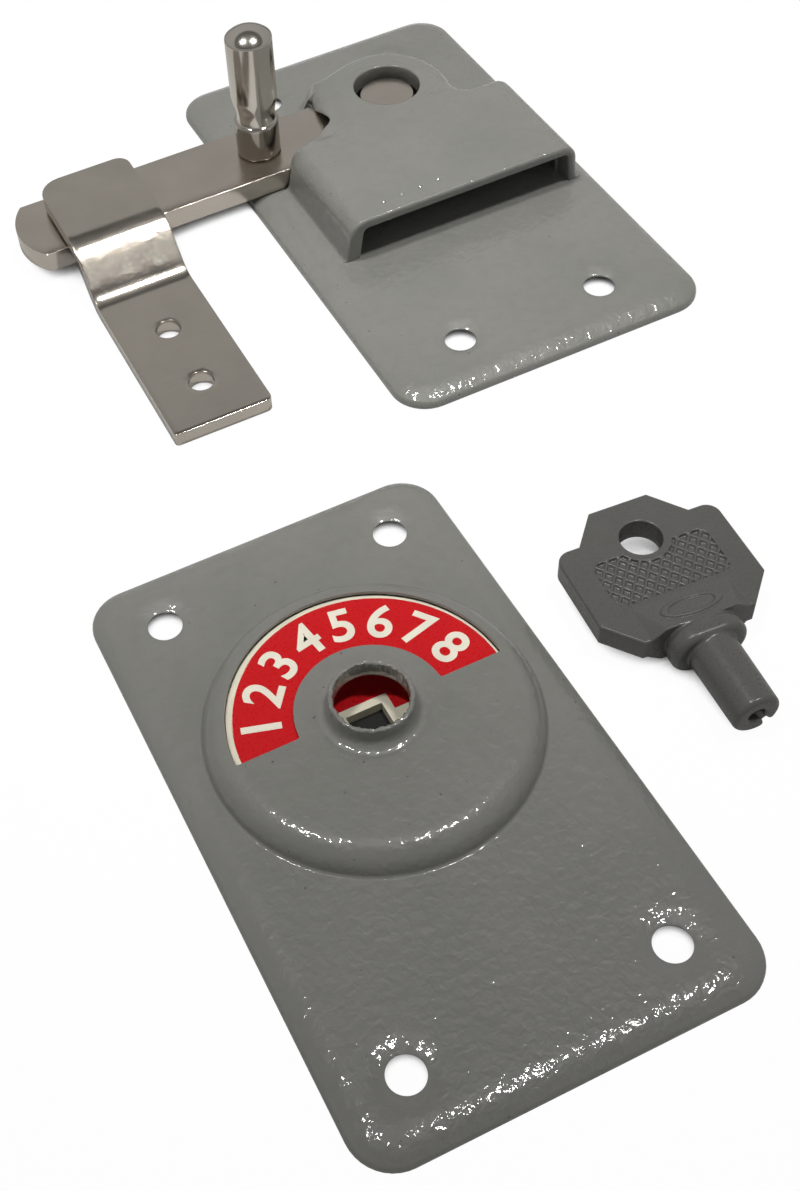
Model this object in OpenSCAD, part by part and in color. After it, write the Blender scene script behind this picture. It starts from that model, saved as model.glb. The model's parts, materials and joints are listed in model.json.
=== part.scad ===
// Toilet indicator bolt: outer indicator plate, inner bolt plate, keeper and emergency key.
// The four stand on the table as a set. Origin: centre of the outer plate's screw holes, table at z = 0.

/* [Pressed plates] */
// Width of the outer plate, along X
outer_w = 60; // [58:1:80]
// Length of the outer plate, along Y
outer_l = 100; // [96:1:130]
// Width of the inner plate, along X
inner_w = 60.5; // [60:0.5:80]
// Length of the inner plate, along Y
inner_l = 104; // [100:1:130]
// Height of a plate's face over the door
plate_rise = 2.5; // [2.3:0.1:3]
// Thickness of the pressed sheet
sheet = 1.0; // [0.8:0.1:1.2]
// Radius of the rolled plate edge
edge_r = 2.2; // [1.2:0.1:2.3]
// Corner radius of the plates in plan
corner_r = 6.5; // [4:0.5:9]
// Centre of the inner plate, from the origin
inner_place = [65.2, 114.2];

/* [Screw holes] */
// Radius of the outer plate's screw holes
outer_hole_r = 2.55; // [2:0.05:3]
// Distance between the outer plate's holes along X
outer_hole_dx = 39; // [36:0.5:42]
// Distance between the outer plate's holes along Y
outer_hole_dy = 79.5; // [76:0.5:84]
// Radius of the inner plate's screw holes
inner_hole_r = 2.7; // [2:0.05:3]
// Distance between the inner plate's holes along X
inner_hole_dx = 28.3; // [27:0.1:32]
// Distance between the inner plate's holes along Y
inner_hole_dy = 81.3; // [79:0.1:86]
// Depth of the dimple round a screw hole
dimple_depth = 0.8; // [0.5:0.1:1]
// How much wider the dimple is than its hole
dimple_rim = 1.5; // [1:0.1:2]

/* [Boss and window] */
// Centre of the boss, from the origin
boss_place = [0.5, 8.5];
// Distance of the boss wall from the plate's side edges
boss_set = 5; // [3.6:0.1:8]
// Height of the boss over the plate face
boss_rise = 3.8; // [3.6:0.1:5]
// Radius of the boss shoulder
boss_round = 2; // [1.2:0.1:3]
// Width of the boss's face outside the window
boss_land = 3.8; // [3:0.1:4.4]
// Inner radius of the window
window_in_r = 11.45; // [10.5:0.05:13]
// Distance of the window's straight ends from the boss centre
window_off = 0.4; // [0.1:0.1:2]
// Bore radius of the collar
collar_r = 5.53; // [5:0.01:6.5]
// Wall of the collar
collar_wall = 0.74; // [0.6:0.02:1.2]
// Height of the collar over the boss
collar_rise = 3.5; // [2:0.1:5]
// Radius of the flare at the foot of the collar
collar_flare = 1.7; // [1:0.1:2.2]

/* [Indicator] */
// How far the disc stays inside the window's outer edge
disc_gap = 0.3; // [0.1:0.1:1]
// Side of the square spindle socket
socket = 5.9; // [5:0.1:6]
// Thickness of the disc's printed ring
ring_t = 1.2; // [0.8:0.1:1.6]
// Outer radius of the dished middle
dish_r = 10.4; // [9.6:0.1:10.4]
// Wall of the dish
dish_wall = 1.0; // [0.8:0.1:1.4]
// Thickness of the web round the socket
web_t = 0.9; // [0.7:0.1:1]
// Radius of the disc's hub
hub_r = 5.0; // [4.8:0.1:5.6]
// Thickness of a printed label
label_t = 0.1; // [0.05:0.05:0.2]
// Bare border round the labels
label_margin = 0.5; // [0.3:0.1:1.5]
// Bare border round the socket
socket_margin = 1.3; // [1:0.1:2]
// Thickness of the strap that holds the disc
strap_t = 0.7; // [0.5:0.1:0.7]
// Width of that strap
strap_w = 14; // [12.5:0.5:18]

/* [Casing] */
// Distance of the casing's left side from the plate's left edge
case_in_left = 8.1; // [6:0.1:10]
// Distance of the casing's right side from the plate's right edge
case_in_right = 3.7; // [2.4:0.1:6]
// How far the casing's open front lies before the plate's middle
case_front = 13; // [11:0.5:16]
// Depth of the casing body, along Y
case_d = 27.2; // [22:0.2:28]
// Height of the casing over the plate face
case_rise = 8; // [7.5:0.1:10]
// Thickness of the casing wall
case_wall = 2.0; // [1.4:0.1:2.2]
// Width of the casing's feet
foot_w = 3; // [2.6:0.1:4]
// Radius of the casing's top edges
case_round = 2.6; // [1.5:0.1:3]
// Distance of the round head's middle from the casing's left side
head_in_left = 26.2; // [24.6:0.1:28]
// How far the round head's middle lies behind the plate's middle
head_back = 22.3; // [20:0.1:24]
// Radius of the round head
head_r = 10.2; // [8.9:0.1:10.5]
// Radius of the hole over the follower
head_hole_r = 6.7; // [6.4:0.1:7.2]
// How far the hood reaches left of the round head's middle
hood_reach = 21; // [18:0.1:22]

/* [Bolt] */
// Width of the bolt bar
bar_w = 16; // [14:0.5:16]
// Thickness of the bolt bar
bar_t = 4; // [3.6:0.1:4.4]
// How far the bar reaches past the plate's edge when drawn back
bar_reach = 44.7; // [30:0.5:60]
// How far the bar's middle lies before the round head's middle
bar_before = 1.45; // [1:0.05:2]
// Radius of the bar's rounded tip
tip_r = 12; // [9:0.5:30]
// Distance of the knob from the plate's left edge
knob_in = 5.8; // [5:0.1:7]
// How far the knob stands behind the bar's middle
knob_back = 0.6; // [-1:0.1:1]
// Radius of the knob
knob_r = 4.43; // [3.5:0.01:5]
// Height of the knob over the bar
knob_h = 26.5; // [22:0.5:34]
// Radius of the knob's foot
knob_foot_r = 4.25; // [3.5:0.05:5]
// Height of the knob's foot
knob_foot_h = 6.4; // [5:0.1:7]
// Radius of the knob's neck
knob_neck_r = 3.45; // [2.6:0.05:3.45]
// Height over the bar at which the grip has its full width
knob_grip_h = 14; // [12.5:0.5:16]
// Radius of the knob's domed top
knob_dome_r = 6.3; // [5.2:0.1:12]

/* [Drive] */
// Gear module of the follower and rack
gear_m = 0.6; // [0.6:0.01:0.62]
// Teeth on the follower
teeth = 18; // [18:1:19]
// Radius of the follower's shaft, the round face that shows
follower_r = 5.2; // [5:0.1:5.3]
// Height of the follower's face over the plate
follower_rise = 6; // [5:0.1:7]
// Radius of the rack rivets
rivet_r = 1.5; // [1.2:0.1:1.5]

/* [Keeper] */
// Width of the keeper
keeper_w = 18.5; // [16:0.5:22]
// Thickness of the keeper
keeper_t = 2.7; // [2:0.1:3]
// Distance of the keeper's middle from the inner plate
keeper_out = 28.45; // [26:0.05:32]
// Near end of the keeper's foot, along Y
keeper_y = 75.8; // [70:0.2:82]
// Length of the keeper's foot
foot_l = 37; // [34:0.5:40]
// Length of the keeper's riser, along Y
riser_l = 9.7; // [7:0.1:11]
// Distance of the keeper's first screw hole from its near end
keeper_hole_in = 10.1; // [8:0.1:12]
// Size of the cut on the keeper's far corners
keeper_cut = 2.1; // [1:0.1:3]
// Radius of the keeper's screw holes
keeper_hole_r = 2.3; // [1.8:0.1:2.6]
// Distance between the keeper's screw holes
keeper_hole_dy = 15.2; // [12:0.2:18]

/* [Key] */
// Middle of the key's collar, from the origin
key_place = [49.36, -3.48];
// How far the key is turned about Z
key_turn = -4.5; // [-10:0.5:10]
// Thickness of the key's head
key_t = 4; // [3:0.1:5]
// Half width of the key's head
key_half_w = 13.6; // [12:0.1:16]
// Radius of the key's shank
shank_r = 3.85; // [3.4:0.05:4.2]
// Length of the key's shank
shank_l = 12.6; // [8:0.2:20]
// Radius of the key's ring hole
key_hole_r = 3.3; // [2.5:0.1:3.8]
// Side of the square in the key's shank
key_socket = 3.6; // [3:0.1:4.6]

/* [Fits] */
// Radial clearance of parts that turn
run = 0.05; // [0.03:0.01:0.1]
// Gap between parts that slide
slide = 0.1; // [0.05:0.01:0.15]

/* [Hidden] */
$fn = 96;
eps = 0.01;
through = 30;

enamel = "#8b8d86";
nickel = "#a39a8e";
moulding = "#ece8d2";
print_red = "#b8202a";
print_green = "#3f8f58";
plastic = "#60605d";

// Sizes and heights of the outer plate and its disc
boss_r = outer_w / 2 - boss_set;
window_r = boss_r - boss_land;
disc_r = window_r - disc_gap;
under = plate_rise - sheet;
boss_top = plate_rise + boss_rise;
boss_under = boss_top - sheet;
collar_top = boss_top + collar_rise;
ring_top = boss_under - label_t - slide;
strap_gap = 0.4;
strap_z = 0.1;
strap_top = strap_z + strap_t;
washer_t = 0.2;
web_z = strap_top + washer_t + 0.02;
web_top = web_z + web_t;
strap_half = outer_w / 2 - edge_r - slide;
strap_step = boss_r + strap_gap;
strap_hole_x = (strap_half + strap_step) / 2;

// Places and heights of the inner plate and its casing
inner_left = inner_place.x - inner_w / 2;
inner_right = inner_place.x + inner_w / 2;
case_left = inner_left + case_in_left;
case_right = inner_right - case_in_right;
case_w = case_right - case_left;
case_near = inner_place.y - case_front;
case_far = case_near + case_d;
case_top = plate_rise + case_rise;
follower_place = [case_left + head_in_left, inner_place.y + head_back];
hood_top = plate_rise + slide + bar_t + slide + case_wall;
hood_w = 18.4;
hood_step = 9.4;
hood_back = 3;
hood_shoulder = 5.2;
lane_y = follower_place.y - bar_before;
window_near = case_near + 4.2;
feet_set = 5;
rivet_stud_r = 0.9;
rivet_stud_l = 3.5;

// The bolt bar lies over the plate and the rack under it
bar_z = plate_rise + slide;
bar_top = bar_z + bar_t;
bar_near = lane_y - bar_w / 2;
bar_far = lane_y + bar_w / 2;
bar_tip = inner_left - bar_reach;
knob_place = [inner_left + knob_in, lane_y + knob_back];
knob_stud_r = 2;
knob_stud_short = 0.6;
knob_foot_round = 0.4;

// Gear sizes: half a turn of the follower draws the bar by half the pitch circle
pitch_r = gear_m * teeth / 2;
tip_circle = pitch_r + gear_m;
dedendum = 1.25 * gear_m;
root_circle = pitch_r - dedendum;
travel = PI * pitch_r;
rack_z = 0.5;
rack_t = under - 0.15 - rack_z;
rack_w = 4.6;
rack_pitch_y = follower_place.y - pitch_r;
rack_near = rack_pitch_y - rack_w;
tooth_pitch = PI * gear_m;
play = 0.12;
wall_gap = 0.2;
rack_right = inner_right - edge_r - wall_gap;
rack_teeth = floor((rack_right - follower_place.x) / tooth_pitch - 0.4);
bar_end = follower_place.x - follower_r - 2;
rivet_y = rack_pitch_y - 2.4;
rivet_l = 2.2;
rivet_x1 = inner_left + edge_r + wall_gap + rivet_r + 2 * slide + travel;
rivet_x2 = bar_end - rivet_r - 0.3;
rack_left = rivet_x1 - rivet_r - 0.8;
clip_z = plate_rise + 0.25;
clip_t = 0.5;
groove_r = follower_r - 0.4;

// Place and heights of the keeper
keeper_x = inner_left - keeper_out;
keeper_lift = bar_top + 0.4;
keeper_far = bar_far - 0.7;
bend_run = 1.4;
bend_rise = 0.5;

// Key sizes, in the key's own place: X across, Y towards the ring end, Z up from the shank's axis
key_collar_half = 6.6;
key_collar_r = 4.7;
key_collar_t = 3.2;
key_near = 2;
key_len = 27.6;
key_ear = 22.2;
key_ear_r = 2.4;
key_shoulder = 7.2;
key_root_half = 9;
key_brow_half = 9.3;
key_end_half = 4.95;
key_socket_l = 8;
key_slit_l = 5;
key_socket_turn = 20;
key_hole_y = 20;
pad_half = 9.6;
pad_near = 9.2;
pad_far = 18;
pad_depth = 0.5;
wedge_far = 8.3;
wedge_rise = 1.7;
wedge_half = 8;
wedge_top_half = 5.6;

// Rounded rectangle about the middle, kept as true arcs
module rounded(w, l, r) {
    square([w - 2 * r, l], center = true);
    square([w, l - 2 * r], center = true);
    for (x = [-1, 1], y = [-1, 1])
        translate([x * (w / 2 - r), y * (l / 2 - r)]) circle(r);
}

// Half disc profile in the X-Z plane with its top edge rounded by r
module rounded_rim(radius, top, r) {
    square([radius, top - r]);
    square([radius - r, top]);
    intersection() {
        translate([radius - r, top - r]) circle(r);
        square([radius, top]);
    }
}

module at_corners(dx, dy) {
    for (x = [-1, 1], y = [-1, 1]) translate([x * dx / 2, y * dy / 2]) children();
}

// A pan: a plate whose edge is rolled down to the door
module pan_solid(w, l, h, r, roll) {
    hull()
        at_corners(w - 2 * r, l - 2 * r)
            rotate_extrude($fn = 36) rounded_rim(r, h, roll, $fn = 36);
}

module pan(w, l) {
    difference() {
        pan_solid(w, l, plate_rise, corner_r, edge_r);
        translate([0, 0, -eps])
            pan_solid(w - 2 * sheet, l - 2 * sheet, under + eps, corner_r - sheet, edge_r - sheet);
    }
}

// The dimple's metal under the sheet, and what it takes out
module dimple_metal(r) {
    translate([0, 0, under - dimple_depth]) cylinder(r = r + sheet, h = dimple_depth + sheet / 2);
}

module dimple_cut(r) {
    translate([0, 0, plate_rise - dimple_depth]) cylinder(r1 = r, r2 = r + dimple_rim, h = dimple_depth + eps);
    translate([0, 0, -1]) cylinder(r = r, h = plate_rise + 1);
}

module boss_profile(off) {
    rounded_rim(boss_r - off, boss_top - off, boss_round - off);
}

module window_shape() {
    intersection() {
        difference() {
            circle(window_r);
            circle(window_in_r);
        }
        translate([-window_r, window_off]) square([2 * window_r, window_r]);
    }
}

module collar_profile() {
    translate([collar_r, boss_under]) square([collar_wall, collar_top - boss_under]);
    difference() {
        translate([collar_r, boss_top - sheet / 2])
            square([collar_wall + collar_flare, collar_flare + sheet / 2]);
        translate([collar_r + collar_wall + collar_flare, boss_top + collar_flare]) circle(collar_flare);
    }
}

module outer_plate() {
    color(enamel)
    difference() {
        union() {
            pan(outer_w, outer_l);
            at_corners(outer_hole_dx, outer_hole_dy) dimple_metal(outer_hole_r);
            translate(boss_place) {
                rotate_extrude() difference() {
                    translate([0, under]) intersection() {
                        translate([0, -under]) boss_profile(0);
                        square([boss_r, boss_top]);
                    }
                    boss_profile(sheet);
                    square([collar_r, boss_top + 1]);
                }
                rotate_extrude() collar_profile();
            }
        }
        at_corners(outer_hole_dx, outer_hole_dy) dimple_cut(outer_hole_r);
        translate(boss_place) {
            translate([0, 0, -eps]) cylinder(r = boss_r - sheet, h = plate_rise + 2 * eps);
            translate([0, 0, boss_under - 1]) linear_extrude(sheet + 2) window_shape();
            translate([0, 0, boss_under - eps])
                cylinder(r1 = collar_r + sheet, r2 = collar_r, h = sheet + 0.4);
        }
    }
}

// The indicator: a dished moulding with a printed ring and a square socket
module indicator_disc() {
    color(moulding)
    translate(boss_place)
    difference() {
        rotate_extrude() {
            translate([dish_r - dish_wall, ring_top - ring_t])
                square([disc_r - dish_r + dish_wall, ring_t]);
            translate([dish_r - dish_wall, web_z]) square([dish_wall, ring_top - web_z]);
            translate([0, web_z]) square([dish_r, web_t]);
            translate([0, strap_z]) square([hub_r, web_top - strap_z]);
        }
        translate([-socket / 2, -socket / 2, -1]) cube([socket, socket, web_top + 2]);
    }
}

// Half of the ring, and half of the dished middle less a square border round the socket
module half_label(gap) {
    clear = socket + 2 * socket_margin;
    translate([0, 0, ring_top]) linear_extrude(label_t) intersection() {
        difference() {
            circle(disc_r - label_margin);
            circle(dish_r + 0.2);
        }
        translate([-disc_r, gap]) square([2 * disc_r, disc_r]);
    }
    translate([0, 0, web_top]) linear_extrude(label_t) difference() {
        intersection() {
            circle(dish_r - dish_wall - 0.3);
            translate([-dish_r, 1.2]) square([2 * dish_r, dish_r]);
        }
        square(clear, center = true);
    }
}

module engaged_label() {
    color(print_red) translate(boss_place) half_label(-0.5);
}

module free_label() {
    color(print_green) translate(boss_place) rotate([0, 0, 180]) half_label(0.7);
}

module disc_washer() {
    color(nickel)
    translate([boss_place.x, boss_place.y, strap_top])
    difference() {
        cylinder(r = hub_r + 3, h = washer_t);
        translate([0, 0, -1]) cylinder(r = hub_r + 0.3, h = washer_t + 2);
    }
}

// The strap under the disc: joggled up to the sheet at both ends
module disc_strap() {
    color(nickel)
    translate([boss_place.x, boss_place.y, 0])
    difference() {
        union() {
            translate([-strap_step, -strap_w / 2, strap_z]) cube([2 * strap_step, strap_w, strap_t]);
            for (s = [-1, 1]) {
                end = strap_half - s * boss_place.x;
                translate([s > 0 ? strap_step - strap_t : -end, -strap_w / 2, under - strap_t])
                    cube([end - strap_step + strap_t, strap_w, strap_t]);
            }
        }
        translate([0, 0, -1]) cylinder(r = hub_r + run, h = through);
        for (s = [-1, 1])
            translate([s * strap_hole_x - boss_place.x, 0, -1]) cylinder(r = rivet_stud_r, h = through);
    }
}

module strap_rivets() {
    color(nickel)
    for (s = [-1, 1]) translate([s * strap_hole_x, boss_place.y, 0]) {
        translate([0, 0, 0.2]) cylinder(r = 1.4, h = under - strap_t - 0.2);
        translate([0, 0, under - strap_t - eps]) cylinder(r = rivet_stud_r, h = strap_t + eps);
    }
}

// Slot in the inner plate for the rivets that join the bar to the rack
module rivet_slot() {
    half = rivet_r + slide;
    left = rivet_x1 - travel - slide;
    right = rivet_x2 + slide;
    translate([left, rivet_y - half]) square([right - left, 2 * half]);
    for (x = [left, right]) translate([x, rivet_y]) circle(half);
}

module plate_window() {
    near = window_near;
    far = rack_near - 1.6;
    translate([(case_left + case_right) / 2, (near + far) / 2])
        rounded(case_w - 2 * foot_w - 5, far - near, 3);
}

module casing_rivet_places() {
    for (x = [case_left + foot_w / 2, case_right - foot_w / 2], y = [case_near + feet_set, case_far - feet_set])
        translate([x, y]) children();
}

module inner_plate() {
    color(enamel)
    difference() {
        translate(inner_place) union() {
            pan(inner_w, inner_l);
            at_corners(inner_hole_dx, inner_hole_dy) dimple_metal(inner_hole_r);
        }
        translate(inner_place) at_corners(inner_hole_dx, inner_hole_dy) dimple_cut(inner_hole_r);
        translate([0, 0, -1]) linear_extrude(plate_rise + 2) rivet_slot();
        translate([0, 0, under - 1]) linear_extrude(sheet + 2) plate_window();
        translate([follower_place.x, follower_place.y, -1]) cylinder(r = follower_r + run, h = plate_rise + 2);
        translate([0, 0, -1]) casing_rivet_places() cylinder(r = rivet_stud_r, h = plate_rise + 2);
    }
}

// Outline of the casing's head and neck, grown or shrunk by off
module head_shape(off) {
    translate(follower_place) circle(head_r + off);
    neck_y = case_far - 4;
    translate([follower_place.x - head_r - off, neck_y])
        square([2 * (head_r + off), follower_place.y - neck_y]);
}

// The hood: the low tunnel mouth that the bar comes out of, with a shoulder at its near side
module hood_shape() {
    left = follower_place.x - hood_reach;
    far = bar_far + slide + case_wall;
    near = case_far - hood_back;
    translate([left + hood_step, near]) square([hood_w - hood_step, far - near]);
    translate([left, near]) square([hood_w, hood_shoulder]);
}

module casing_outer() {
    w = case_w;
    translate([case_left + w / 2, case_near + case_d / 2, plate_rise])
        hull() {
            for (x = [-1, 1]) {
                translate([x * (w / 2 - case_round), case_d / 2 - case_round, 0]) {
                    cylinder(r = case_round, h = 1, $fn = 32);
                    translate([0, 0, case_rise - case_round]) sphere(case_round, $fn = 32);
                }
                translate([x * (w / 2 - case_round), -case_d / 2, 0])
                    rotate([-90, 0, 0]) translate([0, -case_rise + case_round, 0])
                        cylinder(r = case_round, h = 4, $fn = 32);
                translate([x > 0 ? w / 2 - 1 : -w / 2, -case_d / 2, 0]) cube([1, 4, 1]);
            }
        }
    translate([0, 0, plate_rise]) linear_extrude(case_rise) head_shape(0);
    translate([0, 0, plate_rise]) linear_extrude(hood_top - plate_rise) hood_shape();
}

module casing_inner() {
    translate([case_left + foot_w, case_near - 1, plate_rise - 1])
        cube([case_w - 2 * foot_w, case_d + 1 - case_wall, case_rise - case_wall + 1]);
    translate([0, 0, plate_rise - 1]) linear_extrude(case_rise - case_wall + 1) head_shape(-case_wall);
    translate([inner_left, bar_near - slide, plate_rise - 1])
        cube([bar_end + case_wall - inner_left, bar_w + 2 * slide, bar_t + 2 * slide + 1]);
}

module bolt_casing() {
    color(enamel)
    difference() {
        casing_outer();
        casing_inner();
        translate([follower_place.x, follower_place.y, plate_rise])
            cylinder(r = head_hole_r, h = case_rise + 1);
        translate([0, 0, under]) casing_rivet_places() cylinder(r = rivet_stud_r, h = rivet_stud_l + eps);
    }
}

module casing_rivets() {
    color(nickel)
    casing_rivet_places() {
        translate([0, 0, under - 0.7]) cylinder(r = 1.7, h = 0.7);
        translate([0, 0, under - eps]) cylinder(r = rivet_stud_r, h = rivet_stud_l);
    }
}

module bar_shape() {
    intersection() {
        translate([bar_tip, bar_near]) square([bar_end - bar_tip, bar_w]);
        union() {
            translate([bar_tip + tip_r, lane_y]) circle(tip_r);
            translate([bar_tip + tip_r, bar_near]) square([bar_end - bar_tip, bar_w]);
        }
    }
}

module bolt_bar() {
    color(nickel)
    difference() {
        translate([0, 0, bar_z]) linear_extrude(bar_t) bar_shape();
        translate([knob_place.x, knob_place.y, bar_z - 1]) cylinder(r = knob_stud_r, h = bar_t + 2);
        for (x = [rivet_x1, rivet_x2]) translate([x, rivet_y, 0]) cylinder(r = rivet_r, h = bar_z + rivet_l);
    }
}

// The knob: foot, neck, swelling grip and domed top, with a stud through the bar
module bolt_knob() {
    neck_top = (knob_foot_h + knob_grip_h) / 2;
    color(nickel)
    translate([knob_place.x, knob_place.y, bar_top])
    rotate_extrude() {
        translate([0, knob_stud_short - bar_t]) square([knob_stud_r, bar_t - knob_stud_short]);
        rounded_rim(knob_foot_r, knob_foot_h, knob_foot_round);
        square([knob_neck_r, knob_grip_h]);
        polygon([[0, neck_top], [knob_neck_r, neck_top], [knob_r, knob_grip_h], [0, knob_grip_h]]);
        intersection() {
            translate([0, knob_grip_h - eps]) square([knob_r, knob_h]);
            translate([0, knob_h - knob_dome_r]) union() {
                circle(knob_dome_r);
                translate([0, -knob_h]) square([knob_dome_r, knob_h]);
            }
        }
    }
}

// A tooth is half the tooth pitch wide at the pitch line, less the running play
module rack_tooth() {
    flat = tooth_pitch / 2 - play;
    lean = tan(20) * gear_m;
    translate([0, rack_pitch_y])
        polygon([
            [-flat / 2 - 1.25 * lean, -dedendum - eps], [flat / 2 + 1.25 * lean, -dedendum - eps],
            [flat / 2 - lean, gear_m - 0.05], [-flat / 2 + lean, gear_m - 0.05]
        ]);
}

module drive_rack() {
    color(nickel)
    difference() {
        translate([0, 0, rack_z]) linear_extrude(rack_t) {
            translate([rack_left, rack_near])
                square([rack_right - rack_left, rack_w - dedendum]);
            for (i = [-2 : rack_teeth]) translate([follower_place.x + i * tooth_pitch, 0]) rack_tooth();
        }
        for (x = [rivet_x1, rivet_x2]) translate([x, rivet_y, 0]) cylinder(r = rivet_r, h = through);
    }
}

module rack_rivets() {
    color(nickel)
    for (x = [rivet_x1, rivet_x2]) translate([x, rivet_y, 0]) {
        translate([0, 0, 0.1]) cylinder(r = rivet_r + 0.4, h = rack_z - 0.1);
        translate([0, 0, rack_z - eps]) cylinder(r = rivet_r, h = bar_z + rivet_l - rack_z + eps);
    }
}

module pinion_shape() {
    flat = tooth_pitch / 2 - play;
    lean = tan(20) * gear_m;
    circle(root_circle);
    for (i = [0 : teeth - 1]) rotate([0, 0, (i + 0.5) * 360 / teeth - 90])
        polygon([
            [root_circle - 0.2, -flat / 2 - lean], [pitch_r, -flat / 2], [tip_circle - 0.05, -flat / 2 + lean],
            [tip_circle - 0.05, flat / 2 - lean], [pitch_r, flat / 2], [root_circle - 0.2, flat / 2 + lean]
        ]);
}

// The follower: pinion under the plate, shaft through it, square socket from below
module follower() {
    color(nickel)
    translate([follower_place.x, follower_place.y, 0])
    difference() {
        union() {
            translate([0, 0, rack_z]) linear_extrude(rack_t) pinion_shape();
            translate([0, 0, rack_z]) cylinder(r = root_circle, h = 2);
            translate([0, 0, rack_z + rack_t - eps])
                cylinder(r = follower_r, h = plate_rise + follower_rise - rack_z - rack_t + eps);
        }
        translate([-socket / 2, -socket / 2, -1]) cube([socket, socket, plate_rise + 1 + 4]);
        translate([0, 0, clip_z]) difference() {
            cylinder(r = follower_r + 1, h = clip_t);
            translate([0, 0, -1]) cylinder(r = groove_r, h = clip_t + 2);
        }
    }
}

module follower_washer() {
    color(nickel)
    translate([follower_place.x, follower_place.y, plate_rise])
    difference() {
        cylinder(r = follower_r + 1.2, h = 0.22);
        translate([0, 0, -1]) cylinder(r = follower_r + 0.1, h = 3);
    }
}

module follower_clip() {
    color(nickel)
    translate([follower_place.x, follower_place.y, clip_z + 0.02])
    difference() {
        cylinder(r = follower_r + 1.1, h = clip_t - 0.04);
        translate([0, 0, -1]) cylinder(r = groove_r + 0.02, h = 3);
        translate([groove_r - 1, -1.6, -1]) cube([4, 3.2, 3]);
    }
}

// The keeper: a strip bent up over the bar
module keeper_profile() {
    run_y = keeper_y + foot_l;
    top = keeper_lift + keeper_t;
    lower = bend_run / 4;
    polygon([
        [keeper_y, 0], [run_y, 0], [run_y + bend_run, bend_rise],
        [run_y + riser_l + bend_run, keeper_lift - bend_rise], [run_y + riser_l + 2 * bend_run, keeper_lift],
        [keeper_far, keeper_lift], [keeper_far, top],
        [run_y + riser_l + bend_run, top], [run_y + riser_l - lower, top - 2 * bend_rise],
        [run_y + lower, keeper_t + bend_rise], [run_y - bend_run, keeper_t], [keeper_y, keeper_t]
    ]);
}

module keeper() {
    color(nickel)
    difference() {
        translate([keeper_x - keeper_w / 2, 0, 0])
            rotate([90, 0, 90]) linear_extrude(keeper_w) keeper_profile();
        for (i = [0, 1]) translate([keeper_x, keeper_y + keeper_hole_in + i * keeper_hole_dy, -1])
            cylinder(r = keeper_hole_r, h = keeper_t + 2);
        for (s = [-1, 1]) translate([keeper_x + s * keeper_w / 2, keeper_far, keeper_lift])
            rotate([0, 0, 45]) cube([sqrt(2) * keeper_cut, sqrt(2) * keeper_cut, through], center = true);
    }
}

// Outline of the key's head
module key_outline() {
    difference() {
        polygon([
            [-key_root_half, key_near], [key_root_half, key_near], [key_half_w, key_shoulder],
            [key_half_w, key_ear], [key_brow_half, key_ear], [key_end_half, key_len],
            [-key_end_half, key_len], [-key_brow_half, key_ear], [-key_half_w, key_ear],
            [-key_half_w, key_shoulder]
        ]);
        for (s = [-1, 1]) translate([s * (key_half_w - key_ear_r), key_ear - key_ear_r])
            difference() {
                translate([s > 0 ? 0 : -2 * key_ear_r, 0]) square(2 * key_ear_r);
                circle(key_ear_r);
            }
    }
}

module key_wedge() {
    half = key_t / 2;
    polyhedron(
        points = [
            [-wedge_half, key_near, half - eps], [wedge_half, key_near, half - eps],
            [wedge_half, wedge_far, half - eps], [-wedge_half, wedge_far, half - eps],
            [-wedge_top_half, key_near, half + wedge_rise], [wedge_top_half, key_near, half + wedge_rise]
        ],
        faces = [[0, 1, 2, 3], [0, 4, 5, 1], [1, 5, 2], [2, 5, 4, 3], [3, 4, 0]]
    );
}

// Raised crossed ribs in the grip pad
module pad_ribs() {
    pitch = 2.1;
    intersection() {
        translate([0, (pad_near + pad_far) / 2]) rounded(2 * pad_half, pad_far - pad_near, 1.6);
        for (a = [-38, 38], i = [-9 : 9])
            translate([i * pitch / cos(a) * 1.05, (pad_near + pad_far) / 2]) rotate([0, 0, a])
                square([0.5, through], center = true);
    }
}

module key_collar() {
    translate([0, key_near + 0.3, 0]) rotate([90, 0, 0])
        hull() for (s = [-1, 1]) translate([s * (key_collar_half - key_collar_r), 0, 0]) {
            translate([0, 0, 0.9]) cylinder(r = key_collar_r, h = key_collar_t - 1.8, $fn = 32);
            cylinder(r = key_collar_r - 0.9, h = key_collar_t, $fn = 32);
        }
}

module key_solid() {
    half = key_t / 2;
    ring_r = key_hole_r + 1.9;
    difference() {
        union() {
            translate([0, 0, -half]) linear_extrude(key_t) key_outline();
            key_wedge();
            mirror([0, 0, 1]) key_wedge();
            key_collar();
            rotate([90, 0, 0]) cylinder(r1 = shank_r, r2 = shank_r - 0.2, h = key_collar_t / 2 + shank_l);
        }
        for (s = [0, 1]) mirror([0, 0, s]) translate([0, 0, half - pad_depth]) linear_extrude(2) difference() {
            translate([0, (pad_near + pad_far) / 2]) rounded(2 * pad_half, pad_far - pad_near, 1.6);
            translate([0, key_hole_y]) circle(ring_r);
        }
        translate([0, key_hole_y, -half - 2]) cylinder(r = key_hole_r, h = key_t + 4);
        rotate([90, key_socket_turn, 0]) translate([0, 0, key_collar_t / 2 + shank_l]) {
            translate([-key_socket / 2, -key_socket / 2, -key_socket_l])
                cube([key_socket, key_socket, key_socket_l + 1]);
            translate([0, -shank_r - 1, -key_slit_l]) cube([key_socket / 2, shank_r + 1, key_slit_l + 1]);
        }
    }
    for (s = [0, 1]) mirror([0, 0, s]) translate([0, 0, half - pad_depth - eps]) {
        linear_extrude(0.35) difference() {
            pad_ribs();
            translate([0, key_hole_y]) circle(ring_r - 0.2);
        }
        translate([0, key_hole_y, pad_depth]) linear_extrude(0.5) difference() {
            circle(ring_r);
            circle(key_hole_r);
        }
    }
}

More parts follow.
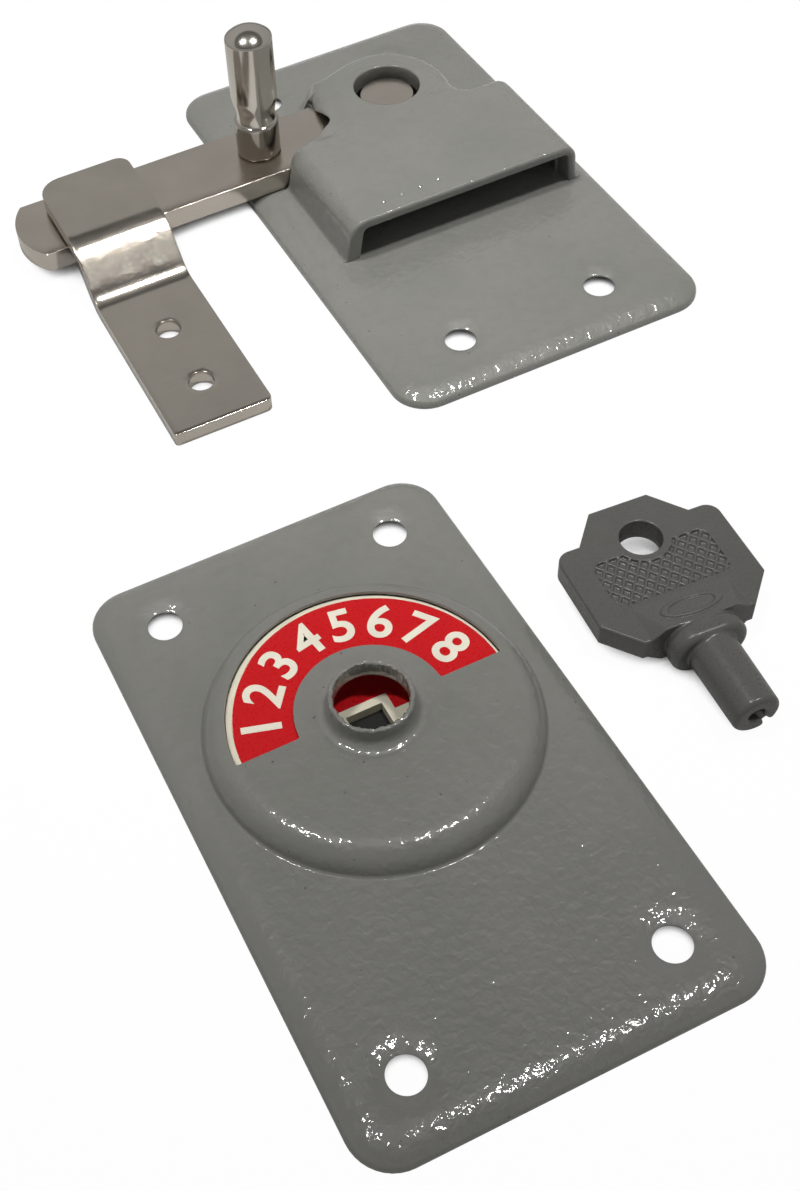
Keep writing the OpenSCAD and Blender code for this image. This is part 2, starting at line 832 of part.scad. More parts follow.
module emergency_key() {
    color(plastic)
    translate([key_place.x, key_place.y, key_collar_r])
        rotate([0, 0, key_turn]) key_solid();
}

outer_plate();
indicator_disc();
engaged_label();
free_label();
disc_washer();
disc_strap();
strap_rivets();
inner_plate();
bolt_casing();
casing_rivets();
bolt_bar();
bolt_knob();
drive_rack();
rack_rivets();
follower();
follower_washer();
follower_clip();
keeper();
emergency_key();
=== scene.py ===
"""Toilet indicator bolt: enamelled outer and inner plate, plated bolt and keeper, moulded release key.

Sizes are in millimetres, turned into metres where a mesh is made. Shaders, lamps and the stage use metres.
"""

import bpy
import bmesh
import json
import numpy as np
from math import cos, hypot, pi, radians, sin, sqrt
from mathutils import Matrix, Vector, geometry, kdtree, noise


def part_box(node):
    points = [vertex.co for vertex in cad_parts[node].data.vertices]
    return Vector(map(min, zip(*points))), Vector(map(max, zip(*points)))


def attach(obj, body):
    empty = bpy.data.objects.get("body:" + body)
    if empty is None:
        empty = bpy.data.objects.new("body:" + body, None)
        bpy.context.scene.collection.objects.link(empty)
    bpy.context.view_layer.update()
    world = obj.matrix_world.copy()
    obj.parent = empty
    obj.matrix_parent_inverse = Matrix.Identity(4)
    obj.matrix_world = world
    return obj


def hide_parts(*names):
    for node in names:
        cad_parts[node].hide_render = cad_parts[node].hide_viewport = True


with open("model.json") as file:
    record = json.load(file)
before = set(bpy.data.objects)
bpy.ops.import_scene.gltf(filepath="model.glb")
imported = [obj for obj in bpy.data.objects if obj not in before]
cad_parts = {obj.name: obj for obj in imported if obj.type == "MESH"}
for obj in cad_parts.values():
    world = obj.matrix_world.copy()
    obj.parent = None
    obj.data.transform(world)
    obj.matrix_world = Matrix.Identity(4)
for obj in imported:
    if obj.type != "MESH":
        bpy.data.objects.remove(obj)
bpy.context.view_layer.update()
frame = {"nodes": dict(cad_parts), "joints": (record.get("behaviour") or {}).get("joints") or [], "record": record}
nodes = frame["nodes"]
MM = 0.001

# Driving sizes, read from the frame
mounts = {m["name"]: m for m in frame["record"]["mounts"]}


def box_mm(node):
    lo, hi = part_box(node)
    return np.array(lo) / MM, np.array(hi) / MM


def place_mm(mount):
    return np.array(mounts[mount]["pos_m"]) / MM


def screw_pattern(mount):
    """Places and radius of a mount's screw holes, in millimetres."""
    middle, dims = place_mm(mount), mounts[mount]["dims"]
    dx, dy = dims.get("spacing_x_mm", 0) / 2, dims["spacing_y_mm"] / 2
    sides = (-1, 1) if dx else (0,)
    return [(middle[0] + i * dx, middle[1] + j * dy) for i in sides for j in (-1, 1)], dims["hole_r_mm"]


def opening_mm(name):
    """Lowest and highest corner of an opening's box, in millimetres."""
    box = next(o["box_m"] for o in frame["record"]["physics"]["openings"] if o["name"] == name)
    return np.array(box[0]) / MM, np.array(box[1]) / MM


outer_hi = box_mm("outer_plate")[1]
inner_lo, inner_hi = box_mm("inner_plate")
disc_lo, disc_hi = box_mm("indicator_disc")
case_lo, case_hi = box_mm("bolt_casing")
bar_lo, bar_hi = box_mm("bolt_bar")
knob_lo, knob_hi = box_mm("bolt_knob")
keeper_lo, keeper_hi = box_mm("keeper")
boss = (disc_lo[:2] + disc_hi[:2]) / 2
follower = place_mm("follower_square")[:2]

# Photograph's camera, solved on the plates' edges and screw holes
PHOTO_W, PHOTO_H = 800, 1191
FOCAL_PX = 1572.289
CENTRE_PX = (266.605, 597.437)
CAMERA_PLACE = Vector((-52.0929, -106.3675, 194.0237))
LOOK_RIGHT = Vector((0.905503, -0.416434, -0.081525))
LOOK_DOWN = Vector((-0.374624, -0.694289, -0.614507))
LOOK_AHEAD = Vector((0.199300, 0.586979, -0.784688))


def show(item):
    bpy.context.scene.collection.objects.link(item)


def make_camera():
    data = bpy.data.cameras.new("photo_camera")
    data.sensor_fit = "HORIZONTAL"
    data.sensor_width = 36.0
    data.lens = FOCAL_PX * data.sensor_width / PHOTO_W
    data.shift_x = (PHOTO_W / 2 - CENTRE_PX[0]) / PHOTO_W
    data.shift_y = (CENTRE_PX[1] - PHOTO_H / 2) / PHOTO_W
    data.clip_start = 0.01
    camera = bpy.data.objects.new("photo_camera", data)
    turn = Matrix((LOOK_RIGHT, -LOOK_DOWN, -LOOK_AHEAD)).transposed()
    camera.matrix_world = Matrix.Translation(CAMERA_PLACE * MM) @ turn.to_4x4()
    show(camera)
    bpy.context.scene.camera = camera


make_camera()


# Materials
def feed(tree, value, socket):
    """Sets a socket, or links it to another node's output."""
    if isinstance(value, bpy.types.NodeSocket):
        tree.links.new(value, socket)
    else:
        socket.default_value = value


def add_node(tree, kind, inputs=None, **settings):
    made = tree.nodes.new(kind)
    for key, value in settings.items():
        setattr(made, key, value)
    for key, value in (inputs or {}).items():
        feed(tree, value, made.inputs[key])
    return made


class Finish:
    """A material with a Principled shader, and short calls for its nodes."""

    def __init__(self, name, **sockets):
        self.material = bpy.data.materials.new(name)
        self.material.use_nodes = True
        self.tree = self.material.node_tree
        self.shader = self.tree.nodes["Principled BSDF"]
        self.place = self.node("TexCoord").outputs["Object"]
        self.wear(**sockets)

    def node(self, kind, inputs=None, **settings):
        return add_node(self.tree, "ShaderNode" + kind, inputs, **settings)

    def noise(self, per_mm, detail=2.0, rough=0.5, stretch=None, distortion=0.0):
        """Noise with about that many features to a millimetre."""
        vector = self.place
        if stretch:
            vector = self.node("Mapping", {"Vector": vector, "Scale": stretch}).outputs[0]
        inputs = {"Vector": vector, "Scale": per_mm / MM, "Detail": detail}
        inputs |= {"Roughness": rough, "Distortion": distortion}
        return self.node("TexNoise", inputs).outputs["Fac"]

    def spread(self, value, low, high, to_low=0.0, to_high=1.0):
        """The value, carried from one range to another and held within it."""
        inputs = {"Value": value, "From Min": low, "From Max": high, "To Min": to_low, "To Max": to_high}
        return self.node("MapRange", inputs).outputs[0]

    def along(self, axis):
        return self.node("SeparateXYZ", {"Vector": self.place}).outputs[axis]

    def fade(self, axis, at, half, before, after):
        """Goes from before to after between at - half and at + half on the axis, in millimetres."""
        return self.spread(self.along(axis), (at - half) * MM, (at + half) * MM, before, after)

    def mix(self, amount, first, second):
        return self.node("Mix", {0: amount, 6: first, 7: second}, data_type="RGBA").outputs[2]

    def math(self, operation, first, second=0.0):
        return self.node("Math", {0: first, 1: second}, operation=operation).outputs[0]

    def bump(self, height, depth_mm, below=None, strength=1.0):
        inputs = {"Height": height, "Strength": strength, "Distance": depth_mm * MM}
        if below:
            inputs["Normal"] = below
        return self.node("Bump", inputs).outputs[0]

    def wear(self, **sockets):
        for key, value in sockets.items():
            feed(self.tree, value, self.shader.inputs[key.replace("_", " ")])
        return self.material


GREY, LIGHT_GREY = (0.166, 0.169, 0.155, 1), (0.187, 0.188, 0.175, 1)
# The third of these colours is painted shade: it darkens the enamel towards the plates' near end.
CLOUD, DUST, NEAR_END_PAINTED_SHADE = (0.145, 0.145, 0.138, 1), (0.03, 0.03, 0.028, 1), (0.10, 0.10, 0.093, 1)
# A dull brown, mixed into the knob's metal below its foot as painted shade.
FOOT_PAINTED_SHADE = (0.27, 0.24, 0.20, 1)
BRUSHED_ALONG, BRUSHED_UP = (0.3, 1.5, 1.5), (3.0, 3.0, 0.3)


def enamel_finish():
    """Grey enamel: orange peel under a glossy skin, stronger to the near right, with fine specks of dust. Its
    colour is painted darker towards the plates' near end, as painted shade.
    """
    f = Finish("grey_enamel", Coat_Weight=1.0, Coat_Roughness=0.07)
    tone = f.noise(0.06, detail=3.0)
    clouds = f.spread(f.noise(0.5, detail=3.0), 0.45, 0.8, 0.0, 0.35)
    specks = f.math("ADD", f.noise(1.5, detail=0.0), f.math("MULTIPLY", tone, 0.08))
    specks = f.spread(specks, 0.90, 0.92, 0.0, 0.75)
    colour = f.mix(f.spread(tone, 0.3, 0.7), GREY, LIGHT_GREY)
    # Painted shade: from y 30 mm down to y -30 mm the enamel is darkened more and more towards the plates' near
    # end.
    for amount, tint in ((clouds, CLOUD), (specks, DUST), (f.fade("Y", 0, 30, 0.16, 0.0), NEAR_END_PAINTED_SHADE)):
        colour = f.mix(amount, colour, tint)
    near_right = f.math("SUBTRACT", f.along("X"), f.along("Y"))
    normal = f.bump(f.noise(0.2, detail=1.0), 0.09)
    peel = f.noise(0.75, detail=1.5, distortion=0.4)
    normal = f.bump(peel, 0.21, normal, f.spread(near_right, -0.02, 0.06, 0.55, 1.0))
    normal = f.bump(f.noise(1.7, detail=1.0), 0.03, normal)
    rough = f.spread(f.noise(0.4), 0.3, 0.7, 0.42, 0.55)
    return f.wear(Base_Color=colour, Roughness=rough, Normal=normal, Coat_Normal=normal)


def plating_finish(name, colour, rough, brush, depth, riser=None, foot=None):
    """Nickel over brushed steel. It's pitted between the two places of riser, and below foot its colour is painted
    darker, as painted shade.
    """
    f = Finish(name, Metallic=1.0)
    lines = f.noise(1.0, detail=3.0, rough=0.6, stretch=brush)
    bloom = f.noise(0.12, detail=3.0)
    grain = f.noise(3.0)
    dark = tuple(c * 0.9 for c in colour) + (1,)
    tint = f.mix(f.spread(bloom, 0.3, 0.7), dark, colour + (1,))
    tint = f.mix(f.spread(grain, 0.5, 0.8, 0.0, 0.3), tint, dark)
    # Painted shade: below the height foot the metal's colour is darkened towards a dull brown.
    if foot:
        tint = f.mix(f.fade("Z", foot, 0.5, 0.8, 0.0), tint, FOOT_PAINTED_SHADE)
    worn = f.math("ADD", f.math("MULTIPLY", lines, 0.6), f.math("MULTIPLY", bloom, 0.4))
    roughness = f.spread(worn, 0.35, 0.65, rough - 0.03, rough + 0.03)
    normal = f.bump(grain, depth * 0.7, f.bump(lines, depth))
    if riser:
        pitted = f.math("MULTIPLY", f.fade("Y", riser[0], 1, 0.0, 1.0), f.fade("Y", riser[1], 1, 1.0, 0.0))
        normal = f.bump(f.noise(3.2, rough=0.6), 0.11, normal, pitted)
    return f.wear(Base_Color=tint, Roughness=roughness, Normal=normal)


def moulding_finish(name, colour, rough, mottled=0.12, depth=0.006, **sockets):
    """Moulded or printed plastic: a faint mottle and a skin that isn't quite flat."""
    f = Finish(name, **sockets)
    grain = f.noise(2.2)
    deep = tuple(c * (1 - mottled) for c in colour) + (1,)
    tint = f.mix(f.spread(f.noise(0.3, detail=3.0), 0.3, 0.7), colour + (1,), deep)
    roughness = f.spread(grain, 0.3, 0.7, rough - 0.05, rough + 0.05)
    return f.wear(Base_Color=tint, Roughness=roughness, Normal=f.bump(grain, depth))


enamel = enamel_finish()
keeper_plating = plating_finish(
    "keeper_nickel", (0.56, 0.52, 0.465), 0.17, BRUSHED_ALONG, 0.0015, riser=(115.5, 121.5))
bar_plating = plating_finish("bar_nickel", (0.60, 0.555, 0.495), 0.22, BRUSHED_ALONG, 0.002)
knob_plating = plating_finish("knob_nickel", (0.66, 0.625, 0.57), 0.14, BRUSHED_UP, 0.0015, foot=13.5)
hidden_plating = plating_finish("stamped_zinc", (0.50, 0.49, 0.47), 0.4, (1.0, 1.0, 1.0), 0.004)
cream = moulding_finish("cream_moulding", (0.80, 0.76, 0.62), 0.35)
red_print = moulding_finish("red_print", (0.55, 0.006, 0.010), 0.30, 0.04, 0.0005, Specular_IOR_Level=0.3)
green_print = moulding_finish("green_print", (0.02, 0.26, 0.07), 0.30, 0.12, 0.002, Specular_IOR_Level=0.4)
numeral_print = moulding_finish("cream_print", (0.84, 0.80, 0.68), 0.34)
key_plastic = moulding_finish("key_moulding", (0.092, 0.092, 0.088), 0.30, 0.06, 0.003)

# Finishes of the solids that show as they are
node_finish = {
    "indicator_disc": cream,
    "engaged_label": red_print,
    "free_label": green_print,
    "follower": bar_plating,
}
for name, piece in nodes.items():
    piece.data.materials.clear()
    piece.data.materials.append(node_finish.get(name, hidden_plating))


# Mesh making
def new_piece(name, points, faces, finish, body, smooth=True, stands_for=()):
    """A mesh piece from points in millimetres."""
    mesh = bpy.data.meshes.new(name)
    corners = [tuple(int(i) for i in f) for f in faces]
    mesh.from_pydata((np.asarray(points, float) * MM).tolist(), [], corners)
    mesh.materials.append(finish)
    mesh.validate()
    if smooth:
        mesh.shade_smooth()
    piece = bpy.data.objects.new(name, mesh)
    show(piece)
    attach(piece, body)
    if stands_for:
        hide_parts(*stands_for)
    return piece


def merge_doubles(piece):
    work = bmesh.new()
    work.from_mesh(piece.data)
    bmesh.ops.remove_doubles(work, verts=work.verts, dist=1e-7)
    bmesh.ops.dissolve_degenerate(work, edges=work.edges, dist=1e-8)
    work.to_mesh(piece.data)
    work.free()
    piece.data.shade_smooth()


class NodeShape:
    """A Geometry Nodes tree with named inputs, turned into a plain mesh piece."""

    def __init__(self, name):
        self.name = name
        self.tree = bpy.data.node_groups.new(name, "GeometryNodeTree")
        self.tree.interface.new_socket("Geometry", in_out="OUTPUT", socket_type="NodeSocketGeometry")
        self.ends = self.tree.nodes.new("NodeGroupInput"), self.tree.nodes.new("NodeGroupOutput")
        self.values = {}

    def size(self, name, kind, value):
        """A named input of the tree, with its value."""
        made = self.tree.interface.new_socket(name, in_out="INPUT", socket_type="NodeSocket" + kind)
        self.values[made.identifier] = value
        return self.ends[0].outputs[name]

    def node(self, kind, inputs):
        return add_node(self.tree, "GeometryNode" + kind, inputs).outputs[0]

    def piece(self, shape, finish, body):
        real = self.node("RealizeInstances", {"Geometry": shape})
        smooth = self.node("SetShadeSmooth", {0: real})
        coated = self.node("SetMaterial", {"Geometry": smooth, "Material": finish})
        self.tree.links.new(coated, self.ends[1].inputs[0])
        piece = bpy.data.objects.new(self.name, bpy.data.meshes.new(self.name))
        show(piece)
        modifier = piece.modifiers.new(self.name, "NODES")
        modifier.node_group = self.tree
        for identifier, value in self.values.items():
            modifier[identifier] = value
        bpy.context.view_layer.update()
        made = piece.evaluated_get(bpy.context.evaluated_depsgraph_get())
        mesh = bpy.data.meshes.new_from_object(made)
        piece.modifiers.clear()
        piece.data = mesh
        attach(piece, body)
        return piece


def circle_loop(middle, radius, count):
    angles = [2 * pi * i / count for i in range(count)]
    return [(middle[0] + radius * cos(a), middle[1] + radius * sin(a)) for a in angles]


def arc(middle, radius, start, end, count):
    angles = [radians(start + (end - start) * i / count) for i in range(count + 1)]
    return [(middle[0] + radius * cos(a), middle[1] + radius * sin(a)) for a in angles]


def run(near, far, parts):
    """Points along a straight line, without its first one."""
    return [(near[0] + (far[0] - near[0]) * i / parts, near[1] + (far[1] - near[1]) * i / parts)
            for i in range(1, parts + 1)]


def turned(u, v, angle):
    return u * cos(angle) - v * sin(angle), u * sin(angle) + v * cos(angle)


def rounded_loop(middle, width, length, radius, inset=0.0, corner=10, step=1.6):
    """Rounded rectangle. Its corner arcs keep their centres, so loops at other insets line up with it."""
    loop = []
    x, y = width / 2 - radius, length / 2 - radius
    corners = ((x, y, 0), (-x, y, 90), (-x, -y, 180), (x, -y, 270))
    for (cx, cy, start), (nx, ny, _) in zip(corners, corners[1:] + corners[:1]):
        loop += arc((cx, cy), radius - inset, start, start + 90, corner)
        a = radians(start + 90)
        far = (nx + (radius - inset) * cos(a), ny + (radius - inset) * sin(a))
        loop += run(loop[-1], far, max(1, round(hypot(nx - cx, ny - cy) / step)))[:-1]
    return [(middle[0] + px, middle[1] + py) for px, py in loop]


def inside(loop, points):
    """Which of the points lie inside the loop."""
    a = np.array(loop)
    b = np.roll(a, -1, axis=0)
    hits = np.zeros(len(points), int)
    for (x0, y0), (x1, y1) in zip(a, b):
        crosses = (y0 > points[:, 1]) != (y1 > points[:, 1])
        if crosses.any():
            at = x0 + (points[:, 1] - y0) * (x1 - x0) / ((y1 - y0) or 1e-12)
            hits += crosses & (points[:, 0] < at)
    return hits % 2 == 1


def rectangle_distance(x, y, middle, width, length, radius):
    """Signed distance to a rounded rectangle, negative inside."""
    qx = np.abs(x - middle[0]) - (width / 2 - radius)
    qy = np.abs(y - middle[1]) - (length / 2 - radius)
    return np.hypot(np.maximum(qx, 0), np.maximum(qy, 0)) + np.minimum(np.maximum(qx, qy), 0) - radius


def triangulate(outline, holes, rings, spacing):
    """A flat mesh that follows every loop, with an even fill between them."""
    verts, edges = [], []
    for loop in [outline] + holes + rings:
        base = len(verts)
        verts += [Vector(p) for p in loop]
        edges += [(base + i, base + (i + 1) % len(loop)) for i in range(len(loop))]
    near = kdtree.KDTree(len(verts))
    for i, v in enumerate(verts):
        near.insert((v.x, v.y, 0), i)
    near.balance()
    box = np.array(outline)
    lo, hi = box.min(0), box.max(0)
    row = spacing * sqrt(3) / 2
    for j in range(1, int((hi[1] - lo[1]) / row)):
        y = lo[1] + j * row
        for i in range(int((hi[0] - lo[0]) / spacing) + 1):
            x = lo[0] + (i + 0.5 * (j % 2)) * spacing
            if near.find((x, y, 0))[2] > 0.75 * spacing:
                verts.append(Vector((x, y)))
    points, _, faces = geometry.delaunay_2d_cdt(verts, edges, [], 0, 1e-6)[:3]
    points = np.array([tuple(p) for p in points])
    faces = np.array([f for f in faces if len(f) == 3])
    middles = points[faces].mean(1)
    keep = inside(outline, middles)
    for hole in holes:
        keep &= ~inside(hole, middles)
    return points, faces[keep]


def vertex_normals(points, faces):
    a, b, c = (points[faces[:, i]] for i in range(3))
    flat = np.cross(b - a, c - a)
    normals = np.zeros_like(points)
    for i in range(3):
        np.add.at(normals, faces[:, i], flat)
    return normals / np.maximum(np.linalg.norm(normals, axis=1, keepdims=True), 1e-12)


def sheet_mesh(outline, holes, rings, spacing, surface, thickness, edge, skirt=None):
    """A sheet of that thickness under surface(u, v), with every cut edge rounded by edge.

    With skirt, the outline drops to the ground as a wall, and skirt is how round its foot is.
    """
    flat, faces = triangulate(outline, holes, rings, spacing)
    top = surface(flat[:, 0], flat[:, 1])
    normals = vertex_normals(top, faces)
    used = np.unique(faces)
    finder = kdtree.KDTree(len(used))
    for i in used:
        finder.insert((flat[i][0], flat[i][1], 0), int(i))
    finder.balance()
    index = lambda loop: np.array([finder.find((p[0], p[1], 0))[1] for p in loop])
    edge_ids = [index(loop) for loop in [outline] + holes]
    if skirt is not None:
        rim = edge_ids[0]
        along = np.roll(top[rim], -1, axis=0) - np.roll(top[rim], 1, axis=0)
        out = np.cross(along, (0, 0, 1.0))
        normals[rim] = out / np.linalg.norm(out, axis=1, keepdims=True)
    under = top - thickness * normals
    count = len(top)
    points = [top, under]
    total = 2 * count
    all_faces = [tuple(f) for f in faces] + [tuple(f[::-1] + count) for f in faces]
    for number, ids in enumerate(edge_ids):
        p, q, n = top[ids], under[ids], normals[ids]
        along = np.roll(p, -1, axis=0) - np.roll(p, 1, axis=0)
        along /= np.linalg.norm(along, axis=1, keepdims=True)
        out = np.cross(n, along) * (-1 if number == 0 else 1)
        rows = []
        if number == 0 and skirt is not None:
            foot = p * (1, 1, 0)
            rows = [foot + (0, 0, skirt), foot - skirt * n, foot - (thickness - skirt) * n]
        else:
            bend = [radians(a) for a in (30, 60, 90)]
            rows = [p + edge * sin(a) * out - edge * (1 - cos(a)) * n for a in bend]
            rows += [q + edge * sin(a) * out + edge * (1 - cos(a)) * n for a in bend[::-1]]
        line_ids = [ids]
        for r in rows:
            points.append(r)
            line_ids.append(np.arange(total, total + len(r)))
            total += len(r)
        line_ids.append(ids + count)
        for a, b in zip(line_ids, line_ids[1:]):
            a2, b2 = np.roll(a, -1), np.roll(b, -1)
            quad = zip(a, b, b2, a2) if number == 0 else zip(a2, b2, b, a)
            all_faces += [tuple(int(i) for i in f) for f in quad]
    return np.vstack(points), all_faces


def lathe_mesh(profile, middle, count):
    """Turns a closed or open profile of (radius, height) about the vertical through middle."""
    points, faces = [], []
    for i in range(count):
        a = 2 * pi * i / count
        points += [(middle[0] + r * cos(a), middle[1] + r * sin(a), z) for r, z in profile]
    n = len(profile)
    for i in range(count):
        j = (i + 1) % count
        faces += [(i * n + k, j * n + k, j * n + k + 1, i * n + k + 1) for k in range(n - 1)]
    return points, faces


# Pressed plates, each with its middle and size
OUTER = np.zeros(2), outer_hi[:2] * 2
INNER = (inner_lo[:2] + inner_hi[:2]) / 2, inner_hi[:2] - inner_lo[:2]
SHEET = 0.5
PLATE_RISE = float(inner_hi[2])
CORNER = 6.5
PAINT_EDGE = 0.16
SKIRT_FOOT = 0.12
DIMPLE_DEPTH = 0.7
DIMPLE_REACH = 3.0
DIMPLE_RINGS = (0.22, 0.42, 0.62, 0.82, 1.05, 1.4)
FALL_R = 8.0
FALL_TILT = 26
FALL_RUN = 0.64
RIM_R = 1.0


def roll_line():
    """Inset and drop of the edge, from the outline in: a tight rim, a short slope and a long soft fall."""
    low, tilt = radians(FALL_TILT), FALL_TILT
    soft = [(FALL_R * sin(radians(a)), FALL_R * (1 - cos(radians(a)))) for a in range(0, tilt + 1, 2)]
    far, drop = soft[-1][0] + FALL_RUN, soft[-1][1] + FALL_RUN * sin(low) / cos(low)
    rim = [(far + RIM_R * (sin(radians(a)) - sin(low)), drop + RIM_R * (cos(low) - cos(radians(a))))
           for a in np.linspace(tilt, 90, 9)]
    line = soft + rim
    return [(line[-1][0] - out, down) for out, down in line[::-1]]


ROLL_LINE = roll_line()


def dimple_loops(screws):
    places, hole_r = screw_pattern(screws)
    holes = [circle_loop(p, hole_r + PAINT_EDGE, 40) for p in places]
    rings = [circle_loop(p, hole_r + DIMPLE_REACH * share, 40) for p in places for share in DIMPLE_RINGS]
    return holes, rings


def plate_loops(middle, size):
    outline = rounded_loop(middle, *size, CORNER)
    rings = [rounded_loop(middle, *size, CORNER, inset) for inset, _ in ROLL_LINE[1:]]
    return outline, rings


def pressed_height(x, y, plate, screws):
    """Height of a plate's face, with its rolled edge and its dimples."""
    middle, size = plate
    drop = np.interp(-rectangle_distance(x, y, middle, *size, CORNER), *zip(*ROLL_LINE))
    places, hole_r = screw_pattern(screws)
    dimple = np.zeros_like(x)
    for place in places:
        t = np.clip((hole_r + DIMPLE_REACH - np.hypot(x - place[0], y - place[1])) / DIMPLE_REACH, 0, 1)
        dimple = np.maximum(dimple, DIMPLE_DEPTH * t**1.5)
    return PLATE_RISE - drop - dimple


def window_loop(radius, in_radius, off, round_r):
    """Half ring with softened corners, about the boss, counter-clockwise."""
    a_out = np.degrees(np.arcsin((off + round_r) / (radius - round_r)))
    a_in = np.degrees(np.arcsin((off + round_r) / (in_radius + round_r)))
    right_out = ((radius - round_r) * cos(radians(a_out)), off + round_r)
    right_in = ((in_radius + round_r) * cos(radians(a_in)), off + round_r)
    loop = arc((0, 0), radius, a_out, 180 - a_out, 90)
    loop += arc((-right_out[0], right_out[1]), round_r, 180 - a_out, 270, 4)[1:]
    loop += arc((-right_in[0], right_in[1]), round_r, 270, 360 - a_in, 4)
    loop += arc((0, 0), in_radius, 180 - a_in, a_in, 60)[1:]
    loop += arc((right_in[0], right_in[1]), round_r, 180 + a_in, 270, 4)[1:]
    loop += arc((right_out[0], right_out[1]), round_r, 270, 360 + a_out, 4)[:-1]
    return [(boss[0] + x, boss[1] + y) for x, y in loop]


BOSS_TOP = 6.3
BOSS_R = 25.0
BOSS_ROUND = 4.2
BOSS_FOOT = 0.6
WINDOW_R = 21.2
WINDOW_IN = 11.45
WINDOW_OFF = 0.4
WINDOW_ROUND = 0.5
COLLAR_R = mounts["spindle_collar"]["dims"]["r_mm"]
COLLAR_WALL = 0.74
COLLAR_FLARE = 1.7
COLLAR_FOOT = COLLAR_R + COLLAR_WALL + COLLAR_FLARE
COLLAR_TOP = float(outer_hi[2])
COLLAR_RIM = 0.3
CUT_EDGE = 0.02
RIM_REACH = 1.4
RIM_WAVE = 0.6
RIM_SINK = 0.35


def boss_profile():
    """Radius and height from the plate's face up to the boss's face."""
    drop = BOSS_TOP - PLATE_RISE
    tilt = np.degrees(np.arccos(1 - drop / (BOSS_ROUND + BOSS_FOOT)))
    flat_r = BOSS_R - BOSS_ROUND
    foot_r = flat_r + (BOSS_ROUND + BOSS_FOOT) * sin(radians(tilt))
    foot = arc((foot_r, PLATE_RISE + BOSS_FOOT), BOSS_FOOT, 270, 270 - tilt, 8)
    shoulder = arc((flat_r, BOSS_TOP - BOSS_ROUND), BOSS_ROUND, 90 - tilt, 90, 14)
    return foot + shoulder[1:]


def outer_surface(x, y):
    r = np.hypot(x - boss[0], y - boss[1])
    rise = np.interp(r, *zip(*sorted(boss_profile()))) - PLATE_RISE
    return np.stack([x, y, pressed_height(x, y, OUTER, "outer_screws") + rise], 1)


def collar_profile():
    """Radius and height: up the collar's outside, over its rim, down its bore and under the boss."""
    outside, rim = COLLAR_R + COLLAR_WALL, COLLAR_RIM
    line = arc((COLLAR_FOOT, BOSS_TOP + COLLAR_FLARE), COLLAR_FLARE, 270, 180, 8)
    line += [(outside, z) for z in np.linspace(COLLAR_TOP - 1.6, COLLAR_TOP - rim, 5)[:-1]]
    line += arc((outside - rim, COLLAR_TOP - rim), rim, 0, 90, 4)
    line += arc((COLLAR_R + rim, COLLAR_TOP - rim), rim, 90, 180, 4)
    line += [(COLLAR_R, 8.0), (COLLAR_R, 6.9), (COLLAR_R + 0.5, 6.0), (COLLAR_R + 1.0, BOSS_TOP - SHEET)]
    return line + [(COLLAR_FOOT, BOSS_TOP - SHEET)]


def rough_rim(points):
    """The collar's cut rim, with its enamel pulled back unevenly from the edge."""
    for p in points:
        share = np.clip((p[2] - COLLAR_TOP + RIM_REACH) / 1.2, 0, 1)
        spot = Vector(p)
        uneven = noise.noise(spot * 0.9) * 0.35 + noise.noise(spot * 2.1 + Vector((7, 3, 1))) * 0.35
        away = np.array([p[0] - boss[0], p[1] - boss[1], 0.0])
        p += share * uneven * RIM_WAVE * away / np.linalg.norm(away)
        p[2] -= share * max(0.0, noise.noise(spot * 1.3 + Vector((2, 9, 4)))) * RIM_SINK
    return points


def make_outer_plate():
    outline, rings = plate_loops(*OUTER)
    holes, hole_rings = dimple_loops("outer_screws")
    edge = PAINT_EDGE
    holes.append(window_loop(WINDOW_R + edge, WINDOW_IN - edge, WINDOW_OFF - edge, WINDOW_ROUND))
    holes.append(circle_loop(boss, COLLAR_FOOT, 64))
    rings += hole_rings + [circle_loop(boss, r, 150) for r, z in boss_profile()]
    rings.append(circle_loop(boss, COLLAR_FOOT + 1.0, 64))
    points, faces = sheet_mesh(outline, holes, rings, 1.5, outer_surface, SHEET, CUT_EDGE, SKIRT_FOOT)
    collar, collar_faces = lathe_mesh(collar_profile(), boss, 192)
    faces += [tuple(i + len(points) for i in f) for f in collar_faces]
    points = np.vstack([points, rough_rim(np.array(collar))])
    new_piece("enamelled_outer_plate", points, faces, enamel, "plates", stands_for=("outer_plate",))


make_outer_plate()


# Holes of the inner plate, and how far its window starts behind the record's
FOLLOWER_HOLE = 5.25
RIVET_HEAD = 1.9
SLOT_R = 1.6
SLOT_SPARE = 0.4
SIGHT_SET = 3.2
SIGHT_ROUND = 3.0


def make_inner_plate():
    outline, rings = plate_loops(*INNER)
    holes, hole_rings = dimple_loops("inner_screws")
    lo, hi = opening_mm("plate_window")
    lo[1] += SIGHT_SET
    holes.append(rounded_loop((lo + hi)[:2] / 2, hi[0] - lo[0], hi[1] - lo[1], SIGHT_ROUND, corner=6))
    holes.append(circle_loop(follower, FOLLOWER_HOLE + PAINT_EDGE, 48))
    lo, hi = box_mm("rack_rivets")
    travel = next(j["range_m"][1] for j in frame["joints"] if j["name"] == "bolt_slide") / MM
    left, right = lo[0] + RIVET_HEAD - travel - SLOT_SPARE, hi[0] - RIVET_HEAD + SLOT_SPARE
    y, radius = (lo[1] + hi[1]) / 2, SLOT_R + PAINT_EDGE
    holes.append(arc((right, y), radius, -90, 90, 8) + arc((left, y), radius, 90, 270, 8))
    surface = lambda x, y: np.stack([x, y, pressed_height(x, y, INNER, "inner_screws")], 1)
    sheet = sheet_mesh(outline, holes, rings + hole_rings, 1.6, surface, SHEET, PAINT_EDGE, SKIRT_FOOT)
    new_piece("enamelled_inner_plate", *sheet, enamel, "plates", stands_for=("inner_plate",))


make_inner_plate()


